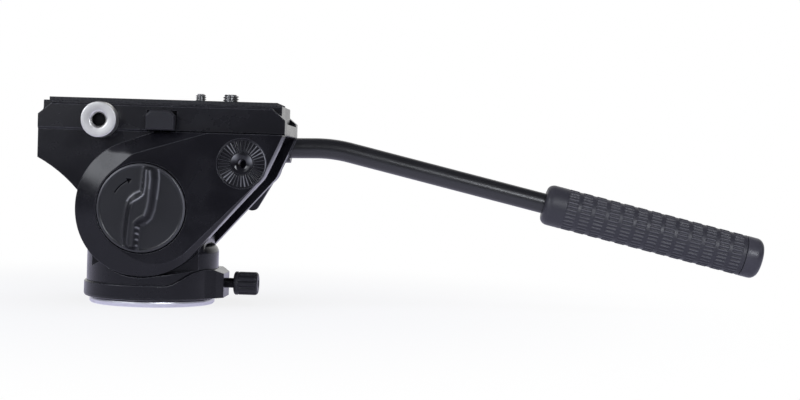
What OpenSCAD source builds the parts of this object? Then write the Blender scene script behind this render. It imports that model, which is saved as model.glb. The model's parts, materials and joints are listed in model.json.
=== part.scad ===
// Fluid video head: pan base, tilting cradle, sliding camera plate and pan handle.
// +Z is up, +X points to the rear, where the handle goes, and +Y is the handle side.
// The origin is the centre of the foot's underside, on the pan axis.

/* [Foot and pan] */
// Diameter of the silver foot
foot_d = 75; // [70:0.5:80]
// Thickness of the foot's disc
foot_h = 3.6; // [3:0.1:5]
// Diameter of the brake drum on the foot
drum_d = 48; // [44:0.5:50]
// Height of the brake drum above the disc
drum_h = 10.5; // [8:0.1:11]
// Diameter of the pan spindle
spindle_d = 16; // [15:0.5:18]
// Tapping diameter of the 3/8 inch tripod thread
tripod_tap_d = 7.94; // [7.5:0.01:9.5]
// Depth of the tripod thread
tripod_depth = 12; // [9:0.5:16]
// Diameter of the base collar
collar_d = 82; // [80:0.5:90]
// Height of the collar above the gap over the foot
collar_h = 9.4; // [8:0.1:10]
// Rise of the collar's rim at the lock lug
rim_rise = 8.4; // [6:0.1:9]
// Reach of the lock lug from the pan axis
lug_reach = 45; // [45:0.5:52]
// Height of the pan lock's axis
pan_lock_z = 13; // [12:0.1:13.5]
// Diameter of the pan lock knob
pan_knob_d = 14.4; // [12:0.1:18]
// Length of the pan lock knob
pan_knob_l = 14.5; // [12:0.5:22]

/* [Body and tilt] */
// Diameter of the round body
body_d = 79; // [76:0.5:80]
// Height of the body's shoulders
shoulder_z = 37; // [34:0.5:38]
// Width of the body between the cheeks
body_w = 47; // [44:0.5:48]
// Radius of the body's round top about the tilt axis
body_top_r = 34; // [30:0.5:35]
// Height of the tilt axis
tilt_z = 58; // [57.8:0.1:62]
// Tilt of the cradle, front end down, in degrees
tilt_down = 65; // [40:1:65]
// Tilt of the cradle, rear end down, in degrees
tilt_back = 40; // [20:1:40]
// Diameter of the tilt axle
axle_d = 16; // [14:0.5:17]

/* [Cheeks] */
// Gap between the two cheeks
cheek_gap = 52; // [51:0.5:56]
// Thickness of a cheek plate
cheek_t = 8; // [7.5:0.1:10]
// Height of the bevelled boss on a cheek
boss_h = 5.5; // [4:0.1:7]
// Radius of a cheek round the tilt axis
cheek_r = 40; // [38:0.1:40.2]
// Radius of the flat ring round the knob recess
ring_r = 27.4; // [27.2:0.1:31]
// Seam between cheeks and platform, above the tilt axis
seam_h = 44.7; // [44:0.1:48]
// Rosette centre behind the tilt axis
rosette_x = 57.8; // [55:0.1:60]
// Rosette centre above the tilt axis
rosette_h = 27.5; // [26:0.1:28]
// Diameter of a rosette
rosette_d = 29; // [26:0.5:30]
// Teeth on a rosette
rosette_teeth = 36; // [24:2:48]
// Tapping diameter of the M6 thread in the free rosette
rosette_tap_d = 5; // [4.5:0.1:6]

/* [Platform and camera plate] */
// Front end of the platform, ahead of the tilt axis
front_reach = 63; // [60:0.5:70]
// Rear end of the platform, behind the tilt axis
rear_reach = 82; // [80:0.5:90]
// Width of the platform
platform_w = 70; // [68:0.5:76]
// Height of the platform
platform_h = 15.7; // [15:0.1:18]
// Thickness of the channel's floor
floor_t = 6.8; // [6.5:0.1:7.5]
// Width of the channel at its floor
channel_w = 50.4; // [48:0.1:51]
// How far each channel wall leans in over the plate
dovetail = 3; // [2:0.1:4]
// Length of the camera plate
plate_l = 142; // [136:0.5:150]
// Thickness of the camera plate
plate_t = 10.6; // [10:0.1:13]
// Thickness of the pad on the plate
pad_t = 2; // [1:0.1:3]
// Travel of the plate each way
plate_travel = 25; // [10:1:30]
// Place of the 1/4 inch camera screw
quarter_x = 26.4; // [22:0.1:27]
// Diameter of the 1/4 inch camera screw
quarter_d = 6.35; // [6:0.01:6.5]
// Place of the 3/8 inch camera screw
three_eighth_x = 44.7; // [44:0.1:48]
// Diameter of the 3/8 inch camera screw
three_eighth_d = 9.525; // [9:0.001:9.8]
// Height of the camera screws above the pad
screw_stand = 5; // [4:0.1:8]

/* [Knobs and button] */
// Diameter of the tilt lock knob
tilt_knob_d = 52; // [46:0.5:52.4]
// Height of the S-shaped grip on the tilt lock knob
s_grip_h = 5; // [3:0.1:8]
// Diameter of the plate lock knob
plate_knob_d = 20.8; // [18:0.1:22]
// Place of the plate lock knob ahead of the tilt axis
plate_knob_x = 25.3; // [24:0.1:30]
// Plate lock knob's centre above the seam
plate_knob_up = 6; // [5.8:0.1:6.5]
// Width of the safety button
button_w = 17; // [15:0.5:19]
// Height of the safety button
button_h = 11.2; // [9:0.1:12]
// How far the safety button stands out
button_out = 6.2; // [5:0.1:8]
// Travel of the safety button
button_travel = 4.2; // [4.1:0.1:4.6]
// Place of the safety button behind the tilt axis
button_x = 9.9; // [6:0.1:11]

/* [Handle] */
// Distance of the handle's plane from the middle
handle_y = 50; // [49.8:0.1:56]
// Pitch of the handle's first stretch, upwards
handle_up = 1.4; // [-10:0.1:20]
// Height of the tube above the rosette's centre
tube_rise = 10.9; // [10.4:0.1:14]
// Diameter of the handle tube
tube_d = 13; // [11:0.1:13.4]
// Wall of the handle tube
tube_wall = 1.5; // [1:0.1:2.5]
// Straight tube from the rosette to the bend
bend_start = 35; // [32:0.5:50]
// Angle of the bend
bend_angle = 14.3; // [5:0.1:30]
// Radius of the bend
bend_r = 90; // [60:1:150]
// Straight tube from the bend to the grip
reach_to_grip = 128.5; // [100:0.5:160]
// Length of the grip with its end cap
grip_l = 142; // [120:1:160]
// Diameter of the grip
grip_d = 26; // [24:0.1:30]
// Ribbed bands on the grip
grip_bands = 13; // [8:1:14]
// Length of the clamp lever from its bolt
lever_l = 31; // [26:0.5:40]
// Diameter of the clamp bolt
bolt_d = 6; // [5:0.1:6]

/* [Fits] */
// Running clearance on a radius
run = 0.04; // [0.02:0.01:0.08]
// Seat clearance on a radius
seat = 0.02; // [0.01:0.01:0.03]
// Free gap between moving faces
free = 0.3; // [0.2:0.05:0.4]
// Gap under a lock that is eased
eased = 0.3; // [0.25:0.01:0.4]

/* [Hidden] */
$fn = 64;
hull_fn = 56;
thin = 0.02;
over = 1;

black_paint = [0.13, 0.13, 0.14];
black_plastic = [0.09, 0.09, 0.1];
rubber = [0.2, 0.2, 0.21];
silver = [0.78, 0.79, 0.8];
steel = [0.6, 0.61, 0.63];
bronze = [0.62, 0.48, 0.26];
brass = [0.8, 0.66, 0.32];
ptfe = [0.9, 0.9, 0.87];

drum_top = foot_h + drum_h;
drum_bore = spindle_d / 2 + seat;
collar_z0 = foot_h + free;
collar_top = collar_z0 + collar_h;
collar_r = collar_d / 2;
rim_top = collar_top + rim_rise;
rim_start = 13;
rim_end = 36;
rim_steps = 12;
rim_flat = 4;
lug_back = [6, 30];
lug_side = [31, 24];
lug_slope = 3;
lug_waist = 16;
lug_tip = 11;
lug_corner = 3.5;
body_r = body_d / 2;
disc_z0 = max(drum_top, collar_top) + free;
disc_t = 2.4;
carrier_z0 = disc_z0 + disc_t;
carrier_t = 8;
carrier_r = 20;
carrier_top = carrier_z0 + carrier_t;
bush_wall = 2.6;
washer_t = 1.6;
nut_t = 6;
spindle_thread_r = 6;
spindle_nut_wall = 4;
shaft_top = carrier_top + free + washer_t + nut_t + 1;
nut_room_r = 13;
nut_room_top = shaft_top + 1;
collar_screw_ring = 31;
collar_screw_r = 2;
screw_head_h = 2.4;
screw_bite = 6;
head_gap = 0.4;
head_play = 0.2;
socket_deep = 1.4;

shoe_r = 3.6;
shoe_x0 = drum_d / 2 + eased;
shoe_l = 4;
shoe_boss_w = 12;
shoe_boss_top = pan_lock_z + shoe_r + 1.4;
pan_screw_r = 3;
pan_neck = 5;
pan_knob_x0 = lug_reach + pan_neck;
pan_screw_in = 8;

body_half = body_w / 2;
shoulder_round = 6;
axle_r = axle_d / 2;
groove_in = axle_r + 3.6;
groove_out = axle_r + 9.2;
groove_deep = 16;
disc_lap = 2.5;
rotor_gap = 1.5;
cheek_in = cheek_gap / 2;
cheek_out = cheek_in + cheek_t;
boss_out = cheek_out + boss_h;
recess_floor = cheek_out - 0.8;
recess_r = tilt_knob_d / 2 + 0.6;
bush_r = axle_r + bush_wall;
stud_r = 4;
stud_end = boss_out - 1;
axle_near_end = recess_floor - 0.5;
axle_far_end = recess_floor + free;
nut_flange = 1.2;
axle_nut_t = 3.6;
axle_nut_wall = 3.4;
flange_t = 5;
flange_in = 15;
tab_inset = 13;
tab_front = [-front_reach + tab_inset, -6];
tab_rear = [23, rear_reach - tab_inset];
tab_screw_end = 6;
tab_screw_mid = 8;
tab_screw_r = 2;
tab_bite = 5;
front_drop = 16.7;
front_notch = [-39, 9.4];
front_corner = [-front_reach, seam_h - front_drop];
front_bow = [1.7, 2.2];
skirt_gap = 0.6;
boss_foot_x = 0.15 * cheek_r;
boss_flat_x = rosette_x - 20;
boss_ear = [-0.08 * ring_r, 0.9 * ring_r];
boss_ear_r = 0.27 * ring_r;
boss_rear = [0.3 * ring_r, -0.2 * ring_r];
boss_rear_r = 0.98 * ring_r;
rosette_r = rosette_d / 2;
rosette_border = 0.5;
rosette_seat = 4;
tooth_h = 1.2;
tooth_w = 1.1;
rosette_hub = 6.5;
rosette_z = tilt_z + rosette_h;

platform_z0 = tilt_z + seam_h;
platform_top = platform_z0 + platform_h;
floor_z = platform_z0 + floor_t;
half_w = platform_w / 2;
channel_half = channel_w / 2;
lip_z = floor_z + 1.4;
lip_top = lip_z + 5;
end_chamfer = [8.5, 7];
edge = 1;

slide_gap = 0.1;
plate_z0 = floor_z + slide_gap;
plate_top = plate_z0 + plate_t;
pad_top = plate_top + pad_t;
plate_half = channel_half - free;
plate_ahead = 2;
plate_front = (rear_reach - front_reach) / 2 - plate_l / 2 - plate_ahead;
plate_rear = plate_front + plate_l;
pad_inset = 3;
pad_half = plate_half - dovetail - pad_inset / 2;
slot_gap = 0.25;
head_room = 5.2;
head_t = 3.2;
clip_t = 0.7;
quarter_head = 6.5;
three_eighth_head = 7.5;
quarter_back = 16;
three_eighth_on = 12;
screw_play = 1;
neck_in = 0.7;

finger_w = 4;
finger_y0 = -plate_half + 7.4;
finger_y1 = finger_y0 + 3.5;
finger_up = 2;
lane_gap = 0.4;
stem_w = 10;
stem_z0 = platform_z0 + 1.6;
stem_t = 3.8;
spring_room = 11;
pocket_end = finger_y1 + spring_room;
cover_t = 1.8;
cover_half = 11;
cover_lap = 7;
cover_screw_r = 1.25;
cover_bite = 4;
button_foot = platform_z0 + 0.9;

jaw_w = 14;
jaw_y0 = -half_w + 5;
jaw_z0 = platform_z0 + 1.8;
jaw_top = lip_top + 0.6;
plate_knob_z = platform_z0 + plate_knob_up;
plate_knob_t = 8.5;
knob_hole_deep = 5;

tilt_face = boss_out + 1.2;
tilt_knob_back = recess_floor + free + 1.6;
insert_r = 7;
insert_t = 5;

sleeve_r = tube_d / 2 + 3;
sleeve_back = -18;
sleeve_front = 19;
sleeve_end = 2;
grub_r = 2;
grub_inset = 5.5;
bracket_in = boss_out + free;
bracket_disc = 4;
hub_r = 11.5;
hub_gap = 0.4;
hub_out = handle_y + sleeve_r + hub_gap;
lever_in = hub_out + hub_gap;
bolt_bite = 6;
cap_l = 11.5;
sleeve_l = grip_l - cap_l;
tube_stop = 2.5;
band_pitch = 9;
band_w = 5.6;
band_deep = 0.7;
band_slope = 0.4;
grip_nose = 17;

// Solid round rods and plates along the axes

module rod_x(r, x0, x1) translate([x0, 0, 0]) rotate([0, 90, 0]) cylinder(r = r, h = x1 - x0);

module rod_y(r, y0, y1) translate([0, y0, 0]) rotate([-90, 0, 0]) cylinder(r = r, h = y1 - y0);

module along_y(y0, y1) translate([0, y1, 0]) rotate([90, 0, 0]) linear_extrude(y1 - y0) children();

module along_x(x0, x1) {
    translate([x0, 0, 0]) rotate([90, 0, 90]) linear_extrude(x1 - x0) children();
}

module box(x, y, z) {
    translate([x[0], y[0], z[0]]) cube([x[1] - x[0], y[1] - y[0], z[1] - z[0]]);
}

module ring_y(r_out, r_in, y0, y1) {
    difference() {
        rod_y(r_out, y0, y1);
        rod_y(r_in, y0 - over, y1 + over);
    }
}

module at_tilt() translate([0, 0, tilt_z]) children();

module at_rosette() translate([rosette_x, 0, rosette_z]) children();

// Points where a line from p touches the circle of radius r about c
function touch(c, r, p, side) =
    let (d = p - c, a = atan2(d[1], d[0]) + side * acos(r / norm(d)))
    c + r * [cos(a), sin(a)];

// Points where a belt round two circles leaves each circle
function belt_points(c1, r1, c2, r2) =
    let (d = c2 - c1, a = atan2(d[1], d[0]), b = acos((r1 - r2) / norm(d)))
    [for (k = [[c1, r1, b], [c1, r1, -b], [c2, r2, -b], [c2, r2, b]])
        k[0] + k[1] * [cos(a + k[2]), sin(a + k[2])]];

module belt(c1, r1, c2, r2) {
    translate(c1) circle(r = r1);
    translate(c2) circle(r = r2);
    polygon(belt_points(c1, r1, c2, r2));
}

// One unbroken round wire wound along +Y, with flat closed ends
module coil(mean_r, wire_r, length, turns) {
    rings = 8 * turns;
    sides = 6;
    points = [for (i = [0:rings], k = [0:sides - 1])
        let (t = i / rings, a = 360 * turns * t, b = 360 * k / sides, r = mean_r + wire_r * cos(b))
        [r * cos(a), wire_r + (length - 2 * wire_r) * t + wire_r * sin(b), r * sin(a)]];
    walls = [for (i = [0:rings - 1], k = [0:sides - 1])
        let (a = i * sides + k, b = i * sides + (k + 1) % sides)
        each [[a, b, b + sides], [a, b + sides, a + sides]]];
    caps = [for (k = [1:sides - 2])
        each [[0, k + 1, k], [rings * sides, rings * sides + k, rings * sides + k + 1]]];
    polyhedron(points = points, faces = concat(walls, caps));
}

// Foot and pan bearing

module foot_plate() {
    rim = 0.8;
    r = foot_d / 2;
    color(silver) difference() {
        rotate_extrude() polygon([
            [0, 0], [r - rim, 0], [r, rim], [r, foot_h - rim / 2], [r - rim / 2, foot_h],
            [drum_d / 2, foot_h], [drum_d / 2, drum_top], [0, drum_top]
        ]);
        translate([0, 0, -over]) cylinder(r = drum_bore, h = drum_top + 2 * over);
    }
}

module pan_spindle() {
    color(steel) difference() {
        union() {
            cylinder(r = spindle_d / 2, h = carrier_top + free);
            cylinder(r = spindle_thread_r, h = shaft_top);
        }
        translate([0, 0, -over]) cylinder(r = tripod_tap_d / 2, h = tripod_depth + over);
    }
}

module spindle_washer() {
    color(steel) translate([0, 0, carrier_top + free]) difference() {
        cylinder(r = nut_room_r - free - over, h = washer_t);
        translate([0, 0, -over]) cylinder(r = spindle_thread_r + seat, h = washer_t + 2 * over);
    }
}

module spindle_nut() {
    color(steel) translate([0, 0, carrier_top + free + washer_t]) difference() {
        cylinder(r = spindle_thread_r + spindle_nut_wall, h = nut_t, $fn = 6);
        translate([0, 0, -over]) cylinder(r = spindle_thread_r + seat, h = nut_t + 2 * over);
    }
}

// Collar round the foot, with its rim swept up to the lug of the pan lock

module rim_side() {
    low = collar_top - over;
    polygon(concat(
        [
            [lug_reach + over, collar_z0], [lug_reach + over, rim_top - lug_slope],
            [rim_end + rim_flat, rim_top]
        ],
        [for (i = [rim_steps:-1:0])
            let (t = i / rim_steps)
            [rim_start + (rim_end - rim_start) * t, low + (rim_top - low) * (1 - cos(180 * t)) / 2]],
        [[rim_start, collar_z0]]
    ));
}

module lug_plan() {
    circle(r = collar_r);
    half = [
        lug_back, lug_side, [lug_reach - lug_corner, lug_waist], [lug_reach, lug_tip]
    ];
    polygon(concat(half, [for (i = [3:-1:0]) [half[i][0], -half[i][1]]]));
}

module collar_screw_places() {
    for (a = [30, 150, 210, 330]) rotate([0, 0, a]) translate([collar_screw_ring, 0, 0]) children();
}

module base_collar() {
    low_round = 1.6;
    top_round = 0.7;
    color(black_paint) difference() {
        union() {
            difference() {
                union() {
                    rotate_extrude() polygon([
                        [0, collar_z0], [collar_r - low_round, collar_z0],
                        [collar_r - low_round * 0.3, collar_z0 + low_round * 0.3],
                        [collar_r, collar_z0 + low_round], [collar_r, collar_top - top_round],
                        [collar_r - top_round, collar_top], [0, collar_top]
                    ]);
                    intersection() {
                        along_y(-collar_r, collar_r) rim_side();
                        translate([0, 0, collar_z0 + low_round / 2]) linear_extrude(rim_top) lug_plan();
                    }
                }
                translate([0, 0, collar_top]) cylinder(r = body_r + free / 2, h = rim_top);
            }
            box([drum_d / 2 + free, body_r], [-shoe_boss_w / 2, shoe_boss_w / 2],
                [collar_z0 + over, shoe_boss_top]);
        }
        translate([0, 0, -over]) cylinder(r = drum_d / 2 + free, h = rim_top);
        translate([0, 0, pan_lock_z]) rod_x(shoe_r + run, 0, shoe_x0 + shoe_l + over);
        translate([0, 0, pan_lock_z]) rod_x(pan_screw_r + run, 0, lug_reach + over);
        collar_screw_places() {
            cylinder(r = collar_screw_r + seat, h = rim_top);
            cylinder(r = collar_screw_r * 2 + head_play, h = collar_z0 + screw_head_h + head_gap);
        }
    }
}

module collar_screws() {
    head_z = collar_z0 + head_gap;
    color(steel) collar_screw_places() translate([0, 0, head_z]) difference() {
        union() {
            cylinder(r = collar_screw_r * 2, h = screw_head_h);
            cylinder(r = collar_screw_r, h = collar_top - head_z + screw_bite);
        }
        translate([0, 0, -over]) cylinder(r = collar_screw_r * 0.9, h = over + socket_deep, $fn = 6);
    }
}

// Body casting: a block between the cheeks, with a round skirt below them

function turn_point(p, a) = [p[0] * cos(a) - p[1] * sin(a), p[0] * sin(a) + p[1] * cos(a)];

// Skirt's side view about the tilt axis, clear of the cheeks at both ends of the tilt
module skirt_side() {
    low = [0, collar_top - tilt_z];
    drop = [0, -skirt_gap];
    belt_ends = belt_points([0, 0], cheek_r, [rosette_x, rosette_h], rosette_r + rosette_border);
    front_in = turn_point(front_notch, tilt_down) + drop;
    front_out = turn_point(front_corner, tilt_down) + drop;
    rear_in = turn_point(belt_ends[1], -tilt_back) + drop;
    rear_out = turn_point(belt_ends[2], -tilt_back) + drop;
    difference() {
        polygon([
            [front_out[0], low[1]], front_out, front_in, [0, 0], rear_in, rear_out, [rear_out[0], low[1]]
        ]);
        circle(r = cheek_r + skirt_gap);
    }
}

module body_casting() {
    color(black_paint) difference() {
        union() {
            intersection() {
                translate([0, 0, collar_top]) cylinder(r = body_r, h = shoulder_z - collar_top);
                at_tilt() along_y(-body_r - over, body_r + over) skirt_side();
            }
            intersection() {
                translate([0, 0, collar_top]) rotate_extrude() union() {
                    square([body_r, shoulder_z - collar_top - shoulder_round]);
                    square([body_r - shoulder_round, shoulder_z - collar_top]);
                    translate([body_r - shoulder_round, shoulder_z - collar_top - shoulder_round])
                        circle(r = shoulder_round);
                }
                box([-body_r, body_r], [-body_half, body_half], [collar_top, shoulder_z]);
            }
            intersection() {
                along_y(-body_half, body_half) {
                    translate([0, tilt_z]) circle(r = body_top_r);
                    translate([-body_top_r, collar_top + over])
                        square([2 * body_top_r, tilt_z - collar_top - over]);
                }
                cylinder(r = body_r - free / 2, h = tilt_z + 2 * body_top_r);
            }
        }
        at_tilt() rod_y(axle_r + seat, -body_half - over, body_half + over);
        at_tilt() ring_y(groove_out, groove_in, body_half - groove_deep, body_half + over);
        at_tilt() ring_y(groove_out, groove_in, -body_half - over, -body_half + groove_deep);
        cylinder(r = drum_d / 2 + free, h = drum_top + free);
        cylinder(r = carrier_r + seat, h = carrier_top);
        cylinder(r = nut_room_r, h = nut_room_top);
        box([0, body_r + over], [-shoe_boss_w / 2 - free, shoe_boss_w / 2 + free],
            [collar_top - over, shoe_boss_top + free]);
        collar_screw_places() cylinder(r = collar_screw_r + seat, h = collar_top + screw_bite + head_gap);
    }
}

module pan_carrier() {
    color(silver) translate([0, 0, carrier_z0]) difference() {
        cylinder(r = carrier_r, h = carrier_t);
        translate([0, 0, -over])
            cylinder(r = spindle_d / 2 + bush_wall + seat, h = carrier_t + 2 * over);
    }
}

module pan_bush() {
    color(bronze) translate([0, 0, carrier_z0]) difference() {
        cylinder(r = spindle_d / 2 + bush_wall, h = carrier_t);
        translate([0, 0, -over]) cylinder(r = spindle_d / 2 + run, h = carrier_t + 2 * over);
    }
}

module pan_drag_disc() {
    color(ptfe) translate([0, 0, disc_z0]) difference() {
        cylinder(r = carrier_r - free, h = disc_t);
        translate([0, 0, -over]) cylinder(r = spindle_d / 2 + free, h = disc_t + 2 * over);
    }
}

// Pan lock: the knob's screw pushes a shoe on to the drum

module pan_brake_shoe() {
    color(bronze) difference() {
        translate([0, 0, pan_lock_z]) rod_x(shoe_r, drum_d / 2 - over, shoe_x0 + shoe_l);
        translate([0, 0, -over]) cylinder(r = shoe_x0, h = rim_top);
    }
}

module pan_lock_screw() {
    color(steel) translate([0, 0, pan_lock_z]) {
        rod_x(pan_screw_r, shoe_x0 + shoe_l, pan_knob_x0 + pan_screw_in);
    }
}

module pan_lock_knob() {
    r = pan_knob_d / 2;
    flutes = 12;
    flute_r = 1.1;
    ring_l = 3;
    nose = 2.4;
    color(black_plastic) translate([pan_knob_x0, 0, pan_lock_z]) rotate([0, 90, 0]) difference() {
        union() {
            cylinder(r1 = r - 0.6, r2 = r, h = 0.6);
            translate([0, 0, 0.6]) cylinder(r = r, h = ring_l - 0.6);
            intersection() {
                linear_extrude(pan_knob_l) difference() {
                    circle(r = r - 0.2);
                    for (i = [0:flutes - 1]) rotate(360 * i / flutes)
                        translate([r + flute_r * 0.25, 0]) circle(r = flute_r);
                }
                rotate_extrude() polygon([
                    [0, ring_l - over], [r + 1, ring_l - over], [r + 1, pan_knob_l - nose],
                    [r - 0.2, pan_knob_l - nose], [r - 0.9, pan_knob_l - 0.9], [r - 2.6, pan_knob_l],
                    [0, pan_knob_l]
                ]);
            }
        }
        translate([0, 0, -over]) cylinder(r = pan_screw_r + seat, h = pan_screw_in + over);
    }
}

// Tilt axle with its bushes, damper and counterbalance

module tilt_axle() {
    color(steel) at_tilt() {
        rod_y(axle_r, -axle_near_end, axle_far_end);
        rod_y(stud_r, -stud_end, axle_far_end + axle_nut_t);
    }
}

module axle_nut() {
    color(steel) at_tilt() translate([0, axle_far_end, 0]) rotate([-90, 0, 0]) difference() {
        union() {
            cylinder(r = bush_r + 1, h = nut_flange);
            cylinder(r = stud_r + axle_nut_wall, h = axle_nut_t, $fn = 6);
        }
        translate([0, 0, -over]) cylinder(r = stud_r + seat, h = axle_nut_t + 2 * over);
    }
}

module tilt_bush(y0, y1) color(bronze) at_tilt() ring_y(bush_r, axle_r + run, y0, y1);

module left_bush() tilt_bush(-recess_floor, -cheek_in);

module right_bush() tilt_bush(cheek_in, recess_floor);

module tilt_friction_disc() {
    color(ptfe) at_tilt() ring_y(groove_out + disc_lap, axle_r + seat, -cheek_in + free, -body_half);
}

module damper_rotor() {
    color(silver) at_tilt() {
        ring_y(groove_out + disc_lap, groove_in + free, body_half + free, cheek_in);
        ring_y(groove_out - free, groove_in + free, body_half - groove_deep + rotor_gap, cheek_in);
    }
}

module counterbalance_spring() {
    wire = 1.4;
    turns = 4;
    color(steel) at_tilt() translate([0, -body_half + slide_gap, 0])
        coil((groove_in + groove_out) / 2, wire, groove_deep - 2 * slide_gap, turns);
}

// Cheeks: a plate with a bevelled boss, a knob recess, a rosette seat and screw tabs

function front_edge() =
    let (mid = (front_notch + front_corner) / 2 + front_bow, steps = 6)
    [for (i = [0:steps])
        let (t = i / steps)
        (1 - t) * (1 - t) * front_notch + 2 * t * (1 - t) * mid + t * t * front_corner];

module cheek_outline() {
    corner = [rear_reach, seam_h];
    rosette = [rosette_x, rosette_h];
    rosette_rim = rosette_r + rosette_border;
    belt([0, 0], cheek_r, rosette, rosette_rim);
    polygon([
        [-front_reach, seam_h], corner, touch(rosette, rosette_rim, corner, -1), rosette, [0, 0],
        each front_edge()
    ]);
}

module cheek_boss() {
    flat_y = boss_out - thin;
    hull() {
        along_y(cheek_out - over, cheek_out) {
            circle(r = cheek_r, $fn = 2 * hull_fn);
            translate([rosette_x, rosette_h]) circle(r = rosette_r + rosette_border, $fn = hull_fn);
            translate([boss_foot_x, seam_h - over]) square([rear_reach - boss_foot_x, over]);
        }
        along_y(flat_y, boss_out) {
            circle(r = ring_r, $fn = 2 * hull_fn);
            translate(boss_ear) circle(r = boss_ear_r, $fn = hull_fn);
            translate(boss_rear) circle(r = boss_rear_r, $fn = 2 * hull_fn);
            translate([rosette_x, rosette_h]) circle(r = rosette_r, $fn = hull_fn);
            translate([boss_flat_x, seam_h - over]) square([rear_reach - over - boss_flat_x, over]);
        }
    }
}

module tab(x) {
    box(x, [flange_in, cheek_in + over], [seam_h - flange_t, seam_h]);
}

module tab_screw_places() {
    y = (flange_in + cheek_in) / 2 - over;
    for (x = [
        tab_front[0] + tab_screw_end, tab_front[1] - tab_screw_mid,
        tab_rear[0] + tab_screw_mid, tab_rear[1] - tab_screw_end
    ]) translate([x, y, 0]) children();
}

module right_cheek() {
    bore_r = rosette_hub - over;
    color(black_paint) at_tilt() difference() {
        union() {
            along_y(cheek_in, cheek_out) cheek_outline();
            cheek_boss();
            tab(tab_front);
            tab(tab_rear);
        }
        rod_y(recess_r, recess_floor, boss_out + over);
        rod_y(bush_r + seat, cheek_in - over, boss_out + over);
        translate([rosette_x, 0, rosette_h]) {
            rod_y(rosette_r + seat, boss_out - rosette_seat, boss_out + over);
            rod_y(bore_r + seat, cheek_in - over, boss_out + over);
        }
        tab_screw_places()
            translate([0, 0, seam_h - flange_t - over])
                cylinder(r = tab_screw_r + head_play, h = flange_t + 2 * over);
    }
}

module left_cheek() mirror([0, 1, 0]) right_cheek();

// Toothed rosettes, each with a threaded bush through its cheek

module tooth_gap() {
    translate([rosette_hub - over / 2, -tooth_w / 2]) square([rosette_r - rosette_hub, tooth_w]);
}

module rosette(hole_r) {
    tooth_base = boss_out - tooth_h;
    color(black_paint) at_rosette() difference() {
        union() {
            rod_y(rosette_hub - over, cheek_in, boss_out - rosette_seat + over);
            rod_y(rosette_r, boss_out - rosette_seat, tooth_base);
            rod_y(rosette_hub, tooth_base - over, boss_out);
            along_y(tooth_base - over, boss_out) difference() {
                circle(r = rosette_r);
                circle(r = rosette_hub + over / 2);
                for (i = [0:rosette_teeth - 1]) rotate(360 * i / rosette_teeth) tooth_gap();
            }
        }
        rod_y(hole_r, cheek_in - over, boss_out + over);
    }
}

module right_rosette() rosette(bolt_d / 2 + run);

module left_rosette() mirror([0, 1, 0]) rosette(rosette_tap_d / 2);

module axle_cap() {
    cap_t = 1.6;
    cap_face = boss_out - 0.4;
    skirt = 2;
    line_w = 1;
    line_deep = 0.5;
    color(black_plastic) at_tilt() difference() {
        union() {
            rod_y(recess_r - seat, cap_face - cap_t, cap_face);
            ring_y(recess_r - seat, recess_r - skirt, recess_floor, cap_face - cap_t);
        }
        ring_y(recess_r - skirt - line_w, recess_r - skirt - 2 * line_w, cap_face - line_deep,
            cap_face + over);
    }
}

// Tilt lock: the knob draws a pressure plate on to the near cheek

module tilt_pressure_plate() {
    lap = 5;
    color(steel) at_tilt()
        ring_y(bush_r + lap, stud_r + free, -tilt_knob_back, -recess_floor - eased);
}

module tilt_knob_insert() {
    color(brass) at_tilt() rotate([90, 0, 0]) translate([0, 0, tilt_knob_back]) difference() {
        cylinder(r = insert_r, h = insert_t, $fn = 6);
        translate([0, 0, -over]) cylinder(r = stud_r + run, h = insert_t + 2 * over);
    }
}

// S-shaped grip: each piece leans in from a wide foot to a narrow top
module s_piece(foot, top) {
    k = tilt_knob_d / 50;
    hull() {
        linear_extrude(thin) polygon(k * foot);
        translate([0, 0, s_grip_h - thin]) linear_extrude(thin) polygon(k * top);
    }
}

module s_arm() {
    s_piece(
        [[0.5, 4], [9, 4], [10.2, 10], [10.2, 15], [8.8, 21.4], [3, 23.1], [0.5, 22.9]],
        [[3.8, 4], [7.9, 4], [9.1, 10], [9.2, 15], [8.3, 20.6], [5, 21.9], [3.7, 21.5]]
    );
}

module s_middle() {
    foot = [[9.9, 8], [8.7, 1.5], [6.6, -3.6], [3.4, -7], [0.6, -8.4]];
    top = [[8.9, 7.5], [7.5, 1], [5.3, -3.6], [1.8, -6.6]];
    s_piece(concat(foot, -foot), concat(top, -top));
}

module tilt_lock_knob() {
    r = tilt_knob_d / 2;
    rim = 1.4;
    knob_t = tilt_face - tilt_knob_back;
    stud_room = stud_end - tilt_knob_back + 1;
    color(black_plastic) at_tilt() rotate([90, 0, 0]) translate([0, 0, tilt_knob_back]) difference() {
        union() {
            rotate_extrude() polygon([
                [0, 0], [r, 0], [r, knob_t - rim], [r - rim * 0.3, knob_t - rim * 0.3], [r - rim, knob_t],
                [0, knob_t]
            ]);
            translate([0, 0, knob_t - thin]) {
                s_arm();
                rotate([0, 0, 180]) s_arm();
                s_middle();
            }
        }
        translate([0, 0, -over]) cylinder(r = insert_r, h = over + insert_t + seat, $fn = 6);
        translate([0, 0, -over]) cylinder(r = stud_r + free, h = over + stud_room);
    }
}

// Platform with its dovetail channel

module channel_section() {
    polygon([
        [-channel_half, floor_z], [channel_half, floor_z], [channel_half, lip_z],
        [channel_half - dovetail, lip_top], [channel_half - dovetail, platform_top + over],
        [-channel_half + dovetail, platform_top + over], [-channel_half + dovetail, lip_top],
        [-channel_half, lip_z]
    ]);
}

module platform_section() {
    difference() {
        polygon([
            [-half_w + edge, platform_z0], [half_w - edge, platform_z0], [half_w, platform_z0 + edge],
            [half_w, platform_top - edge], [half_w - edge, platform_top], [-half_w + edge, platform_top],
            [-half_w, platform_top - edge], [-half_w, platform_z0 + edge]
        ]);
        channel_section();
    }
}

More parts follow.
